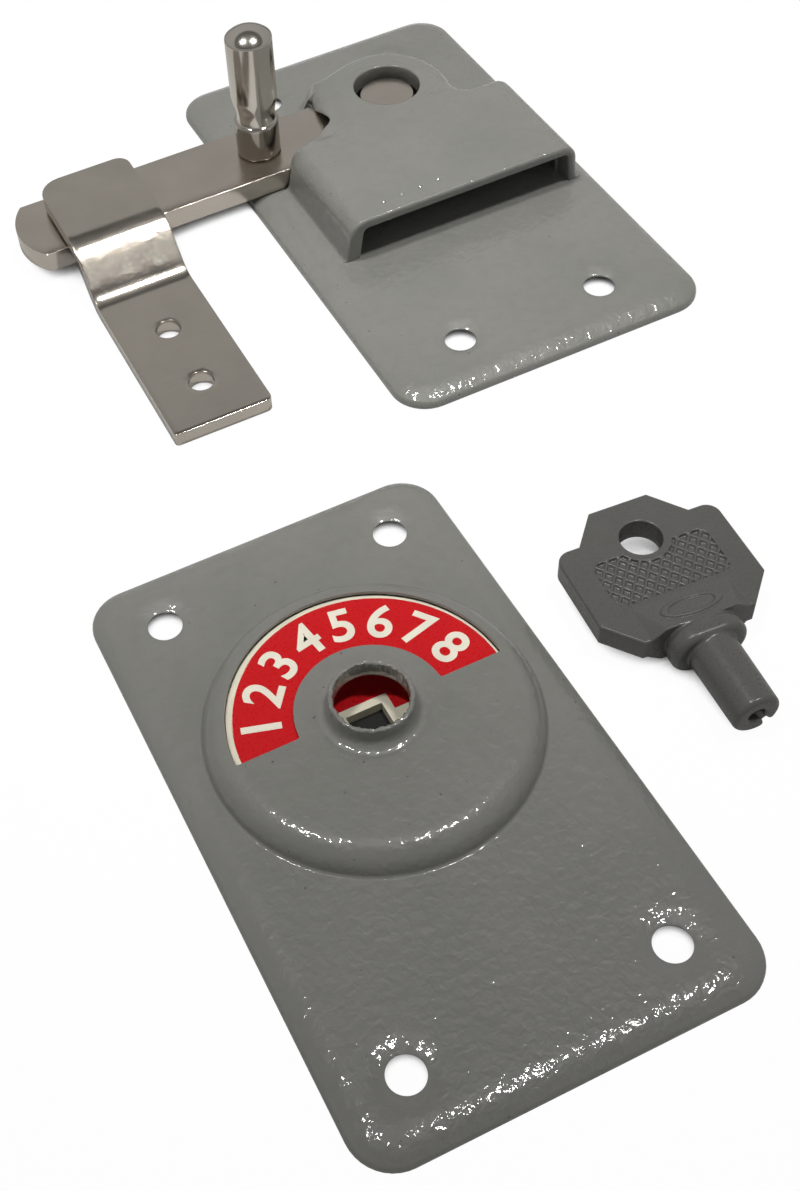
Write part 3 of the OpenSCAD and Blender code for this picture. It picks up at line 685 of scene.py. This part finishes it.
# Solids carved out of a distance field, for castings and mouldings with soft edges
def polygon_distance(x, y, corners):
    """Signed distance to a closed polygon, negative inside."""
    best = np.full(x.shape, 1e9)
    within = np.zeros(x.shape, bool)
    for (x0, y0), (x1, y1) in zip(corners, corners[1:] + corners[:1]):
        ex, ey = x1 - x0, y1 - y0
        t = np.clip(((x - x0) * ex + (y - y0) * ey) / (ex * ex + ey * ey), 0, 1)
        best = np.minimum(best, np.hypot(x - x0 - t * ex, y - y0 - t * ey))
        crosses = (y0 > y) != (y1 > y)
        at = x0 + (y - y0) * ex / (ey if ey else 1e-12)
        within ^= crosses & (x < at)
    return np.where(within, -best, best)


def round_cut(a, b, radius):
    """What lies in both a and b, with the edge between them rounded."""
    corner = np.hypot(np.maximum(a + radius, 0), np.maximum(b + radius, 0))
    return np.minimum(np.maximum(a, b), -radius) + corner


def blend_in(a, b, radius):
    """a and b joined, with a fillet in the corner between them."""
    h = np.clip(0.5 + 0.5 * (b - a) / radius, 0, 1)
    return b * (1 - h) + a * h - radius * h * (1 - h)


def carve_out(a, b, radius):
    """a without b, with the edge softened."""
    return -blend_in(-a, b, radius)


def field_mesh(field, lo, hi, cell):
    """Surface of field(x, y, z) = 0, with its points pulled onto it."""
    axes = [np.arange(l, h + cell, cell) for l, h in zip(lo, hi)]
    value = field(*np.meshgrid(*axes, indexing="ij"))
    solid = value < 0
    shape = tuple(np.array(value.shape) - 1)
    total = np.zeros(shape + (3,))
    count = np.zeros(shape)
    step = np.eye(3, dtype=int)
    corner = lambda c: value[tuple(slice(i, i + n) for i, n in zip(c, shape))]
    for c in np.ndindex(2, 2, 2):
        for axis in range(3):
            if c[axis]:
                continue
            a, b = corner(c), corner(c + step[axis])
            cross = (a < 0) != (b < 0)
            place = np.zeros(shape + (3,)) + c
            place[..., axis] += np.where(cross, a / np.where(cross, a - b, 1), 0)
            total += place * cross[..., None]
            count += cross
    made = count > 0
    ids = np.full(shape, -1)
    ids[made] = np.arange(made.sum())
    base = np.argwhere(made).astype(float)
    points = np.array(lo) + (base + total[made] / count[made][:, None]) * cell
    faces = []
    for axis in range(3):
        u, v = (axis + 1) % 3, (axis + 2) % 3
        here = np.argwhere(solid != np.roll(solid, -1, axis=axis))
        here = here[(here[:, axis] < shape[axis]) & (here[:, u] > 0) & (here[:, v] > 0)]
        here = here[(here[:, u] < shape[u]) & (here[:, v] < shape[v])]
        quad = [ids[tuple((here - step[u] * i - step[v] * j).T)] for i, j in ((0, 0), (1, 0), (1, 1), (0, 1))]
        quad = np.stack(quad, 1)
        inward = ~solid[tuple(here.T)]
        quad[inward] = quad[inward][:, ::-1]
        faces.append(quad)
    faces = np.vstack(faces)
    reach = cell * 0.1
    for _ in range(4):
        slope = [field(*(points + way).T) - field(*(points - way).T) for way in step * reach]
        slope = np.stack(slope, 1) / (2 * reach)
        steep = np.maximum((slope**2).sum(1), 0.25)
        move = -(field(*points.T) / steep)[:, None] * slope
        length = np.linalg.norm(move, axis=1, keepdims=True)
        points += move * np.minimum(1, 0.4 * cell / np.maximum(length, 1e-9))
    return points, faces[(faces >= 0).all(1)]


# Casing: body with an open front, round head, and the low hood that the bar comes out of
CASE_TOP = float(case_hi[2])
CASE_WALL = 2.0
CASE_ROUND = 3.0
CASE_EDGE = 0.6
BODY_INSET = (0.9, 0.8)
BODY_SPREAD = (1.4, 0.7, 0.9)
BODY_BACK = 128.3
BODY_ROUND = 2.8
SIDE_WALLS = (3.0, 1.7)
HEAD_R = 11.7
HEAD_SET = (0.2, 0.8)
HEAD_SPREAD = 3.0
HEAD_BLEND = 5.0
HEAD_HOLE = 6.5
HEAD_FLOOR = 6.9
HOLE_FLOOR = 6.5
NECK_SPREAD = 2.2
NECK_HALF = 5
HOOD_TOP = 9.2
HOOD_ROUND = 2.2
HOOD_BLEND = 2.6
HOOD_SPREAD = 3.4
HOOD_EDGE = [(45.4, 124.0), (45.6, 128.0), (48.1, 130.3), (51.1, 131.4), (53.9, 134.3),
             (55.2, 138.5), (56.0, 143.3), (58.7, 147.4), (66.0, 147.4), (68.0, 124.0)]
MOUTH_RISE = 2.2
MOUTH_END = 62.0
BAR_SPARE = 0.1
SKIRT_REACH = 1.3
BEAD_R = 0.42
SEAT = PLATE_RISE - 0.3


def body_faces(z):
    """Share of the way down the casing, and the body's left, right and far face there."""
    down = (CASE_TOP - z) / (CASE_TOP - PLATE_RISE)
    left = case_lo[0] + BODY_INSET[0] - BODY_SPREAD[0] * down
    right = case_hi[0] - BODY_INSET[1] + BODY_SPREAD[1] * down
    return down, left, right, BODY_BACK + BODY_SPREAD[2] * down


def casing_outside(x, y, z, around):
    down, left, right, back = body_faces(z)
    body = round_cut(np.maximum(left - x, x - right), y - back, BODY_ROUND)
    head = np.hypot(x - follower[0] - HEAD_SET[0], y - follower[1] - HEAD_SET[1])
    head = head - HEAD_R - HEAD_SPREAD * down
    neck = np.abs(x - follower[0]) - HEAD_R - NECK_SPREAD * down
    neck = np.maximum(neck, np.abs(y - (follower[1] + back) / 2) - NECK_HALF)
    tall = blend_in(blend_in(head, neck, 1.5), body, HEAD_BLEND)
    tall = round_cut(tall, z - CASE_TOP, CASE_ROUND)
    fall = np.clip((HOOD_TOP - z) / (HOOD_TOP - PLATE_RISE), 0, 1.2)
    slope = np.where(y > bar_hi[1] + 1, HOOD_SPREAD * fall, 0)
    hood = round_cut(polygon_distance(x, y, HOOD_EDGE) - slope, z - HOOD_TOP, HOOD_ROUND)
    shell = blend_in(tall, hood, HOOD_BLEND)
    skirt = np.maximum(z - PLATE_RISE + 0.03, shell - SKIRT_REACH)
    shell = blend_in(shell, skirt, 1.2)
    far = np.clip((y - follower[1]) / np.maximum(around, 0.1), 0, 1)
    bead = np.hypot(around - HEAD_HOLE - 1.6, z - CASE_TOP + 0.15) - BEAD_R * far
    return blend_in(shell, bead, 0.35)


def casing_hollow(x, y, z, around):
    """Room behind the open front, room in the head, and the bar's lane with its arched mouth."""
    _, left, right, back = body_faces(z)
    room = np.maximum(left + SIDE_WALLS[0] - x, x - right + SIDE_WALLS[1])
    room = round_cut(room, z - (CASE_TOP - CASE_WALL), 0.9)
    room = np.maximum(room, y - (back - CASE_WALL))
    head_room = np.maximum(around - HEAD_R + CASE_WALL, z - HEAD_FLOOR)
    across = np.clip((y - bar_lo[1] - 0.5) / (bar_hi[1] - bar_lo[1] - 2.5), 0, 1)
    mouth = BAR_SPARE + MOUTH_RISE * np.sin(pi * across) * np.clip((MOUTH_END - x) / 3, 0, 1)
    lane = np.maximum(bar_lo[1] - BAR_SPARE - y, y - bar_hi[1] - BAR_SPARE)
    lane = np.maximum(np.maximum(lane, z - bar_hi[2] - mouth), x - bar_hi[0] - 2)
    return np.minimum(room, np.minimum(head_room, lane))


def casing_field(x, y, z):
    around = np.hypot(x - follower[0], y - follower[1])
    shell = carve_out(casing_outside(x, y, z, around), casing_hollow(x, y, z, around), 0.35)
    shell = carve_out(shell, np.maximum(around - HEAD_HOLE, HOLE_FLOOR - z), 0.3)
    shell = round_cut(shell, case_lo[1] - y, CASE_EDGE)
    return np.maximum(shell, SEAT - z)


DROP_START = (52.0, 104.3, CASE_TOP + 0.1)
DROP_STEP = (3.9, 0.25, 0.0)
DROP_R = 0.4
DROP_FLAT = 0.14
DROP_LEAN = (radians(26.8), radians(-4.3), 0.0)


def make_casing():
    lowest = (case_lo[0] - 1.5, case_lo[1] - 0.7, PLATE_RISE - 0.7)
    highest = (case_hi[0] + 1, follower[1] + HEAD_R + HEAD_SET[1] + 3.6, CASE_TOP + 0.8)
    shell = field_mesh(casing_field, lowest, highest, 0.32)
    new_piece("enamelled_casing", *shell, enamel, "plates", stands_for=("bolt_casing",))


def make_drops():
    """Four drops of enamel, in a row behind the casing's front edge."""
    shape = NodeShape("enamel_drops")
    count = shape.size("Count", "Int", 4)
    start = shape.size("Start", "Vector", tuple(v * MM for v in DROP_START))
    step = shape.size("Step", "Vector", tuple(v * MM for v in DROP_STEP))
    radius = shape.size("Radius", "Float", DROP_R * MM)
    flat = shape.size("Flatness", "Vector", (1, 1, DROP_FLAT))
    row = shape.node("MeshLine", {"Count": count, "Start Location": start, "Offset": step})
    ball = shape.node("MeshUVSphere", {"Segments": 16, "Rings": 10, "Radius": radius})
    dome = shape.node("Transform", {"Geometry": ball, "Scale": flat})
    lean = shape.size("Lean", "Vector", DROP_LEAN)
    drops = shape.node("InstanceOnPoints", {"Points": row, "Instance": dome, "Rotation": lean})
    shape.piece(drops, enamel, "plates")


make_casing()
make_drops()


# Bolt: bar and knob
TIP_R = 12.0
BAR_EDGE = 0.07


def bar_outline(inset):
    x0, x1 = bar_lo[0] + TIP_R, bar_hi[0] - inset
    y0, y1 = bar_lo[1] + inset, bar_hi[1] - inset
    middle = (y0 + y1) / 2
    reach = np.degrees(np.arcsin((y1 - middle) / (TIP_R - inset)))
    tip = arc((x0, middle), TIP_R - inset, 180 - reach, 180 + reach, 24)
    low, end = run((tip[-1][0], y0), (x1, y0), 40), run((x1, y0), (x1, y1), 10)
    return tip + low + end + run((x1, y1), (tip[0][0], y1), 40)[:-1]


def make_bar():
    top, thickness = float(bar_hi[2]), float(bar_hi[2] - bar_lo[2])
    flat = lambda x, y: np.stack([x, y, np.full_like(x, top)], 1)
    bar = sheet_mesh(bar_outline(BAR_EDGE), [], [], 3.0, flat, thickness, BAR_EDGE)
    new_piece("plated_bar", *bar, bar_plating, "bolt", stands_for=("bolt_bar",))


def knob_profile():
    """Foot, waist, swelling grip and domed top, from the bar up."""
    base, top = float(bar_hi[2]), float(knob_hi[2])
    grip_r = (knob_hi[0] - knob_lo[0]) / 2
    foot_r, foot_h, waist_r, dome_r = 4.25, 7.3, 3.75, 6.3
    groove, fillet, swell, edge = 0.25, 0.4, 4.4, 0.6
    line = [(0, base), (foot_r - groove, base), (foot_r - groove, base + 0.35), (foot_r, base + 0.4)]
    line += [(foot_r, base + 0.4 + h) for h in (0.03, 0.3, 3.0, foot_h - 1.1)]
    line += arc((foot_r - fillet, base + foot_h - fillet), fillet, 0, 85, 5)
    line += arc((waist_r + fillet, base + foot_h + fillet), fillet, 270, 180, 4)
    start = base + foot_h + 3 * fillet
    for i in range(1, 17):
        t = i / 16
        line.append((waist_r + (grip_r - waist_r) * (1 - cos(pi * t)) / 2, start + swell * t))
    middle = top - dome_r
    tilt = np.degrees(np.arccos((grip_r - edge) / (dome_r - edge)))
    line += arc((grip_r - edge, middle + (dome_r - edge) * sin(radians(tilt))), edge, 0, tilt, 6)
    line += arc((0, middle), dome_r, tilt, 90, 12)[1:]
    return line


def make_knob():
    knob = lathe_mesh(knob_profile(), (knob_lo[:2] + knob_hi[:2]) / 2, 96)
    merge_doubles(new_piece("turned_knob", *knob, knob_plating, "bolt", stands_for=("bolt_knob",)))


make_bar()
make_knob()


# Keeper: a strip bent up over the bar, each bend with its radius and angle
KEEPER_T = 2.7
KEEPER_FOOT = 36.1
KEEPER_UP, KEEPER_BACK = (5.2, 43), (9.6, -43)
KEEPER_MORE = 0.6
KEEPER_LIFT = 0.6
KEEPER_EDGE = 0.14
KEEPER_CORNERS = (0.6, 1.1, 2.4, 4.4)


def bent_line(start, parts):
    """Points along a line of straights and bends, (length, 0) or (radius, degrees), and how far along."""
    place, heading, line = np.array(start, float), 0.0, [(0.0, start[0], start[1])]
    run_length = 0.0
    for size, turn in parts:
        steps = 1 if turn == 0 else 12
        for _ in range(steps):
            length = size if turn == 0 else size * radians(abs(turn)) / steps
            middle = heading + radians(turn) / steps / 2
            chord = length if turn == 0 else 2 * size * sin(radians(abs(turn)) / steps / 2)
            place = place + chord * np.array([cos(middle), sin(middle)])
            heading += radians(turn) / steps
            run_length += length
            line.append((run_length, place[0], place[1]))
    return np.array(line)


def keeper_line():
    """The keeper's top face from the side, with the ramp as long as its height needs."""
    bends = [(KEEPER_FOOT, 0), KEEPER_UP, (0, 0), KEEPER_BACK]
    bent = bent_line((0.0, 0.0), bends)[-1]
    rise = float(keeper_hi[2]) + KEEPER_LIFT - KEEPER_T
    bends[2] = ((rise - bent[2]) / sin(radians(KEEPER_UP[1])), 0)
    bent = bent_line((0.0, 0.0), bends)[-1]
    tail = float(keeper_hi[1] - keeper_lo[1]) + KEEPER_MORE - bent[1]
    return bent_line((float(keeper_lo[1]), KEEPER_T), bends + [(tail, 0)])


def keeper_outline(length):
    """The strip laid flat, with its own radius at each corner."""
    half, middle = float(keeper_hi[0] - keeper_lo[0]) / 2, float(keeper_hi[0] + keeper_lo[0]) / 2
    left, right = middle - (half - KEEPER_EDGE), middle + (half - KEEPER_EDGE)
    near, far = KEEPER_EDGE, length - KEEPER_EDGE
    corners = (left, near, 1, 1), (right, near, -1, 1), (right, far, -1, -1), (left, far, 1, -1)
    arcs = [arc((x + i * r, y + j * r), r, 180 + 90 * k, 270 + 90 * k, 6)
            for k, ((x, y, i, j), r) in enumerate(zip(corners, KEEPER_CORNERS))]
    loop = []
    for now, after in zip(arcs, arcs[1:] + arcs[:1]):
        reach = hypot(after[0][0] - now[-1][0], after[0][1] - now[-1][1])
        loop += now + run(now[-1], after[0], round(reach / 0.9))[:-1]
    return loop


def make_keeper():
    run_length, ahead, up = keeper_line().T
    surface = lambda u, v: np.stack([u, np.interp(v, run_length, ahead), np.interp(v, run_length, up)], 1)
    places, hole_r = screw_pattern("keeper_screws")
    holes = [circle_loop((x, y - keeper_lo[1]), hole_r + KEEPER_EDGE, 36) for x, y in places]
    outline = keeper_outline(run_length[-1])
    strip = sheet_mesh(outline, holes, [], 0.8, surface, KEEPER_T, KEEPER_EDGE)
    new_piece("bent_keeper", *strip, keeper_plating, "plates", stands_for=("keeper",))


make_keeper()


# Release key, in its own place: u across, v towards the ring end, w up from the shank's axis
KEY_TURN = radians(-4.5)
KEY_T = 4.0
KEY_RING_V = 20.0
KEY_SET = 0.6
KEY_HOLE_R = mounts["key_ring_hole"]["dims"]["r_mm"]
KEY_HALF = [(9.0, 2.0), (13.6, 7.2), (13.6, 22.2), (9.3, 22.2), (4.95, 27.6)]
KEY_HEAD = KEY_HALF + [(-u, v) for u, v in KEY_HALF[::-1]]
KEY_BEVEL = 0.45
EAR_R = 2.3
WEDGE_V = (2.0, 8.3)
WEDGE_RISE = 1.7
WEDGE_HALF = 8.0
WEDGE_SLANT = 2.4
OVAL = (0.0, 5.1)
OVAL_HALF = (4.3, 1.75)
OVAL_LINE = (0.24, 0.3)
PAD_V = 13.6
PAD_SIZE = (19.2, 8.8)
PAD_DEPTH = 0.5
PAD_ROUND = 1.6
RING_LAND = 1.3
RIB_TURN = radians(52)
RIB_PITCH = 1.56
RIB_HALF = 0.13
RIB_RISE = 0.4
RIB_SLOPE = 0.2
COLLAR_T = 3.2
COLLAR_SECTION = (1.8, 4.3)
NECK_SECTION = (1.9, 3.6)
NECK_V, NECK_T = 1.6, 1.6
SHANK_R = 3.85
SHANK_TAPER = 0.012
SHANK_END = -14.15
SLIT_TURN = radians(52)
SLIT_HALF = 0.45
SLIT_DEPTH = 1.5
SOCKET_R = 1.25
SOCKET_DEPTH = 5


def key_head(u, v, w):
    """Flat head with ears and a ring hole. Each face has a wedge, a bare oval and a pad of crossed ribs."""
    half = KEY_T / 2
    up = np.abs(w)
    outline = polygon_distance(u, v, KEY_HEAD)
    ear_u, ear_v = np.abs(u) - (KEY_HEAD[1][0] - EAR_R), v - (KEY_HEAD[2][1] - EAR_R)
    ear = np.where((ear_u > 0) & (ear_v > 0), np.hypot(ear_u, ear_v) - EAR_R, -EAR_R)
    head = round_cut(np.maximum(outline, ear), up - half, KEY_BEVEL)
    low, high = WEDGE_V
    rise = WEDGE_RISE * np.clip((high - v) / (high - low), 0, 1)
    side = np.abs(u) - WEDGE_HALF + WEDGE_SLANT * np.clip((up - half) / WEDGE_RISE, 0, 1)
    wedge = np.maximum(side, np.maximum(low - v, v - high))
    head = np.minimum(head, round_cut(wedge, (up - half - rise) * 0.95, 0.25))
    oval = np.abs(np.hypot((u - OVAL[0]) / OVAL_HALF[0], (v - OVAL[1]) / OVAL_HALF[1]) - 1) * OVAL_HALF[1]
    line = np.maximum(oval - OVAL_LINE[0], np.abs(up - half - rise) - OVAL_LINE[1])
    head = blend_in(head, line, 0.1)
    ring = np.hypot(u, v - KEY_RING_V)
    pad = rectangle_distance(u, v, (0, PAD_V), *PAD_SIZE, PAD_ROUND)
    pad = np.maximum(pad, KEY_HOLE_R + RING_LAND - ring)
    ways = [turned(u, v, turn)[1] / RIB_PITCH for turn in (RIB_TURN, -RIB_TURN)]
    rib = np.minimum(*[np.abs(way % 1 - 0.5) * RIB_PITCH for way in ways]) - RIB_HALF
    floor_up = half - PAD_DEPTH + RIB_RISE * np.clip(1 - np.maximum(rib, 0) / RIB_SLOPE, 0, 1)
    head = np.maximum(head, -round_cut(pad, floor_up - up, 0.1))
    return carve_out(head, ring - KEY_HOLE_R, 0.3)


def oblong_distance(u, w, flat, radius):
    """Distance to an oblong: half its flat, and the radius of its ends."""
    return np.hypot(np.maximum(np.abs(u) - flat, 0), w) - radius


def key_field(u, v, w):
    collar = round_cut(oblong_distance(u, w, *COLLAR_SECTION), np.abs(v) - COLLAR_T / 2, 1.1)
    neck = np.maximum(oblong_distance(u, w, *NECK_SECTION), np.abs(v - NECK_V) - NECK_T / 2)
    collar = blend_in(collar, neck, 0.5)
    shank = round_cut(np.hypot(u, w) - SHANK_R + SHANK_TAPER * (2 - v), SHANK_END - v, 0.8)
    shank = np.maximum(shank, v - 2)
    p, q = turned(u, w, SLIT_TURN)
    slit = np.maximum(np.abs(q) - SLIT_HALF, -0.5 - p)
    slit = np.maximum(slit, v - SHANK_END - SLIT_DEPTH + 0.2 * p)
    socket = np.maximum(np.hypot(u, w) - SOCKET_R, v - SHANK_END - SOCKET_DEPTH)
    shank = carve_out(shank, blend_in(slit, socket, 0.5), 0.7)
    return blend_in(blend_in(key_head(u, v, w), collar, 0.4), shank, 0.4)


def make_key():
    points, faces = field_mesh(key_field, (-14.2, SHANK_END - 0.6, -5.0), (14.2, 28.2, 5.0), 0.17)
    u, v, w = points.T
    hole = place_mm("key_ring_hole")
    x, y = turned(u, v - KEY_RING_V, KEY_TURN)
    points = np.stack([hole[0] + x, hole[1] + KEY_SET + y, np.maximum(hole[2] + w, 0)], 1)
    new_piece("moulded_key", points, faces, key_plastic, "plates", stands_for=("emergency_key",))


make_key()


# Face of the disc's ring, its print, and plain numbers along the red half
FACE_IN, FACE_OUT = 10.45, 21.25
FACE_LINE = [(FACE_IN, 5.62), (FACE_IN + 0.1, 5.7), (19.2, 5.7), (20.2, 5.66), (20.9, 5.58),
             (21.15, 5.5), (FACE_OUT, 5.38)]
FACE_BACK = 5.0
PRINT_IN, PRINT_OUT = 10.75, 20.55
PRINT_SET = (0.22, -0.15)
PRINT_T = 0.03
PRINT_SINK = 0.02
NUMBERS = "12345678"
NUMBER_SIZE = 8.3
NUMBER_R = 15.75
NUMBER_Z = 5.74
NUMBER_START, NUMBER_END = 163, 17


def make_ring_face():
    line = [(FACE_IN, FACE_BACK)] + FACE_LINE + [(FACE_OUT, FACE_BACK), (FACE_IN, FACE_BACK)]
    merge_doubles(new_piece("ring_face", *lathe_mesh(line[::-1], boss, 192), cream, "indicator"))


def make_print(name, start, end, finish):
    """Half a ring of print: a thin closed sheet that follows the face."""
    rows = np.linspace(PRINT_IN, PRINT_OUT, 24)
    height = np.interp(rows, *zip(*FACE_LINE))
    angles = np.radians(np.linspace(start, end, 97))
    n, m = len(rows), len(angles)
    points = []
    for lift in (PRINT_T, -PRINT_SINK):
        for a in angles:
            points += [(boss[0] + PRINT_SET[0] + r * cos(a), boss[1] + PRINT_SET[1] + r * sin(a), z + lift)
                       for r, z in zip(rows, height)]
    top = lambda i, k: i * n + k
    faces = []
    for i in range(m - 1):
        for k in range(n - 1):
            quad = (top(i, k), top(i, k + 1), top(i + 1, k + 1), top(i + 1, k))
            faces += [quad, tuple(q + n * m for q in quad[::-1])]
    rim = [top(i, n - 1) for i in range(m)] + [top(m - 1, k) for k in range(n - 2, -1, -1)]
    rim += [top(i, 0) for i in range(m - 2, -1, -1)] + [top(0, k) for k in range(1, n - 1)]
    faces += [(a, a + n * m, b + n * m, b) for a, b in zip(rim, rim[1:] + rim[:1])]
    new_piece(name, points, faces, finish, "indicator", smooth=False)


make_ring_face()
make_print("red_half", -1.5, 181.5, red_print)
make_print("green_half", 183.5, 356.5, green_print)


def make_numbers():
    points, faces = [], []
    for i, mark in enumerate(NUMBERS):
        angle = radians(NUMBER_START + (NUMBER_END - NUMBER_START) * i / (len(NUMBERS) - 1))
        curve = bpy.data.curves.new("number", "FONT")
        curve.body = mark
        curve.size = NUMBER_SIZE
        curve.align_x = "CENTER"
        curve.align_y = "CENTER"
        curve.offset = 0.16
        curve.extrude = 0.015
        curve.resolution_u = 8
        text = bpy.data.objects.new("number", curve)
        show(text)
        bpy.context.view_layer.update()
        mesh = bpy.data.meshes.new_from_object(text.evaluated_get(bpy.context.evaluated_depsgraph_get()))
        faces += [tuple(len(points) + k for k in f.vertices) for f in mesh.polygons]
        middle = boss[0] + NUMBER_R * cos(angle), boss[1] + NUMBER_R * sin(angle)
        for v in mesh.vertices:
            x, y = turned(v.co.x, v.co.y, angle - pi / 2)
            points.append((middle[0] + x, middle[1] + y, NUMBER_Z + v.co.z))
        bpy.data.objects.remove(text)
        bpy.data.meshes.remove(mesh)
    new_piece("ring_numbers", points, faces, numeral_print, "indicator", smooth=False)


make_numbers()


# Stage and light, with the elevation in degrees and the level of the studio's walls and ceiling
TABLE_HALF = 1.2
# The second table colour is painted shadow, put under openings that the camera looks into.
TABLE_GREY, TABLE_PAINTED_SHADOW = (0.5, 0.5, 0.5, 1), (0.03, 0.03, 0.03, 1)
SKY = [(0, 0.38), (90, 0.24), (28, 0.44), (46, 0.46), (50, 0.13), (61, 0.13), (66, 0.24)]
NEAR_SHARE = 0.8
LAMP_FAR = 2.0
LAMP_R = 0.15
LAMP_POWER = 142.0
LAMP_LEAN = (0.244, -0.112, 0.963)
LIGHT_TINT = (1.0, 0.985, 0.96)
BEAM = radians(10.1)
BEAM_MIDDLE = Vector((0.05, 0.105, 0.0))


def under_opening(f, opening):
    """One where the table lies in reach of an opening, and nought elsewhere: the mask for painted shadow."""
    under = 1.0
    for axis, low, high in zip("XY", *opening_mm(opening)):
        under = f.math("MULTIPLY", under, f.math("GREATER_THAN", f.along(axis), (low - 2) * MM))
        under = f.math("MULTIPLY", under, f.math("LESS_THAN", f.along(axis), (high + 2) * MM))
    return under


def make_stage():
    """Pale table, white to the camera where it's open, with the shadow kept close under the object. Under the
    casing's window and the disc's socket the table is painted near black, as painted shadow.
    """
    mesh = bpy.data.meshes.new("table")
    corners = [(TABLE_HALF * i, TABLE_HALF * j, 0) for i, j in ((-1, -1), (1, -1), (1, 1), (-1, 1))]
    mesh.from_pydata(corners, [], [(0, 1, 2, 3)])
    table = bpy.data.objects.new("table", mesh)
    table.location.z = -0.00002
    show(table)
    f = Finish("pale_table", Roughness=1.0, Specular_IOR_Level=0.0)
    open_sky = f.node("AmbientOcclusion", {"Distance": 0.02}).outputs["AO"]
    lit = f.spread(open_sky, 0.12, 0.35, 0.0, 0.94)
    # Painted shadow: under the casing's window and the disc's socket the table is painted near black and doesn't
    # glow.
    painted_shadow = f.math("MAXIMUM", under_opening(f, "plate_window"), under_opening(f, "disc_socket"))
    lit = f.math("MULTIPLY", lit, f.math("SUBTRACT", 1.0, painted_shadow))
    f.wear(Base_Color=f.mix(painted_shadow, TABLE_GREY, TABLE_PAINTED_SHADOW))
    seen = f.node("LightPath").outputs["Is Camera Ray"]
    glow = f.node("Emission", {"Strength": 1.03}).outputs[0]
    blend = f.node("MixShader", {0: f.math("MULTIPLY", lit, seen), 1: f.shader.outputs[0], 2: glow})
    feed(f.tree, blend.outputs[0], f.tree.nodes["Material Output"].inputs[0])
    mesh.materials.append(f.material)


def add_lamp(name, place, target):
    """Round studio lamp. Its beam is bright in the middle and dies away softly, so the near end is dimmer."""
    data = bpy.data.lights.new(name, "SPOT")
    data.energy = LAMP_POWER
    data.shadow_soft_size = LAMP_R
    data.spot_size = BEAM
    data.spot_blend = 1.0
    data.color = LIGHT_TINT
    lamp = bpy.data.objects.new(name, data)
    lamp.location = place
    lamp.rotation_euler = (target - place).to_track_quat("-Z", "Y").to_euler()
    show(lamp)


def make_sky():
    """Pale walls all round, dimmer behind the camera, with a dark band above them and a ceiling."""
    world = bpy.data.worlds.new("studio")
    world.use_nodes = True
    tree = world.node_tree
    view = add_node(tree, "ShaderNodeTexCoord").outputs["Generated"]

    def share(way):
        made = add_node(tree, "ShaderNodeVectorMath", {0: view, 1: way}, operation="DOT_PRODUCT")
        return made.outputs["Value"]

    ahead = Vector((LOOK_AHEAD.x, LOOK_AHEAD.y, 0)).normalized()
    ramp = add_node(tree, "ShaderNodeValToRGB", {0: share((0, 0, 1))})
    points = ramp.color_ramp.elements
    for i, (angle, level) in enumerate(SKY):
        point = points[i] if i < 2 else points.new(1.0)
        point.position = sin(radians(angle))
        point.color = (level, level, level, 1)
    side = add_node(tree, "ShaderNodeMapRange", {0: share(ahead), 1: -1.0, 2: 1.0, 3: NEAR_SHARE, 4: 1.0})
    level = {0: ramp.outputs[0], 1: side.outputs[0]}
    level = add_node(tree, "ShaderNodeMath", level, operation="MULTIPLY").outputs[0]
    background = tree.nodes["Background"].inputs
    feed(tree, level, background["Strength"])
    feed(tree, LIGHT_TINT + (1,), background["Color"])
    bpy.context.scene.world = world


def make_light():
    """Twin lamps high above the knob, under a soft sky."""
    bpy.context.scene.view_settings.view_transform = "Standard"
    make_sky()
    knob = Vector((*(knob_lo + knob_hi)[:2] / 2, knob_hi[2])) * MM
    for side, name in ((-1, "lamp_left"), (1, "lamp_right")):
        lean = Vector((LAMP_LEAN[0] * side, LAMP_LEAN[1] * side, LAMP_LEAN[2]))
        add_lamp(name, knob + lean * LAMP_FAR, BEAM_MIDDLE)


make_stage()
make_light()
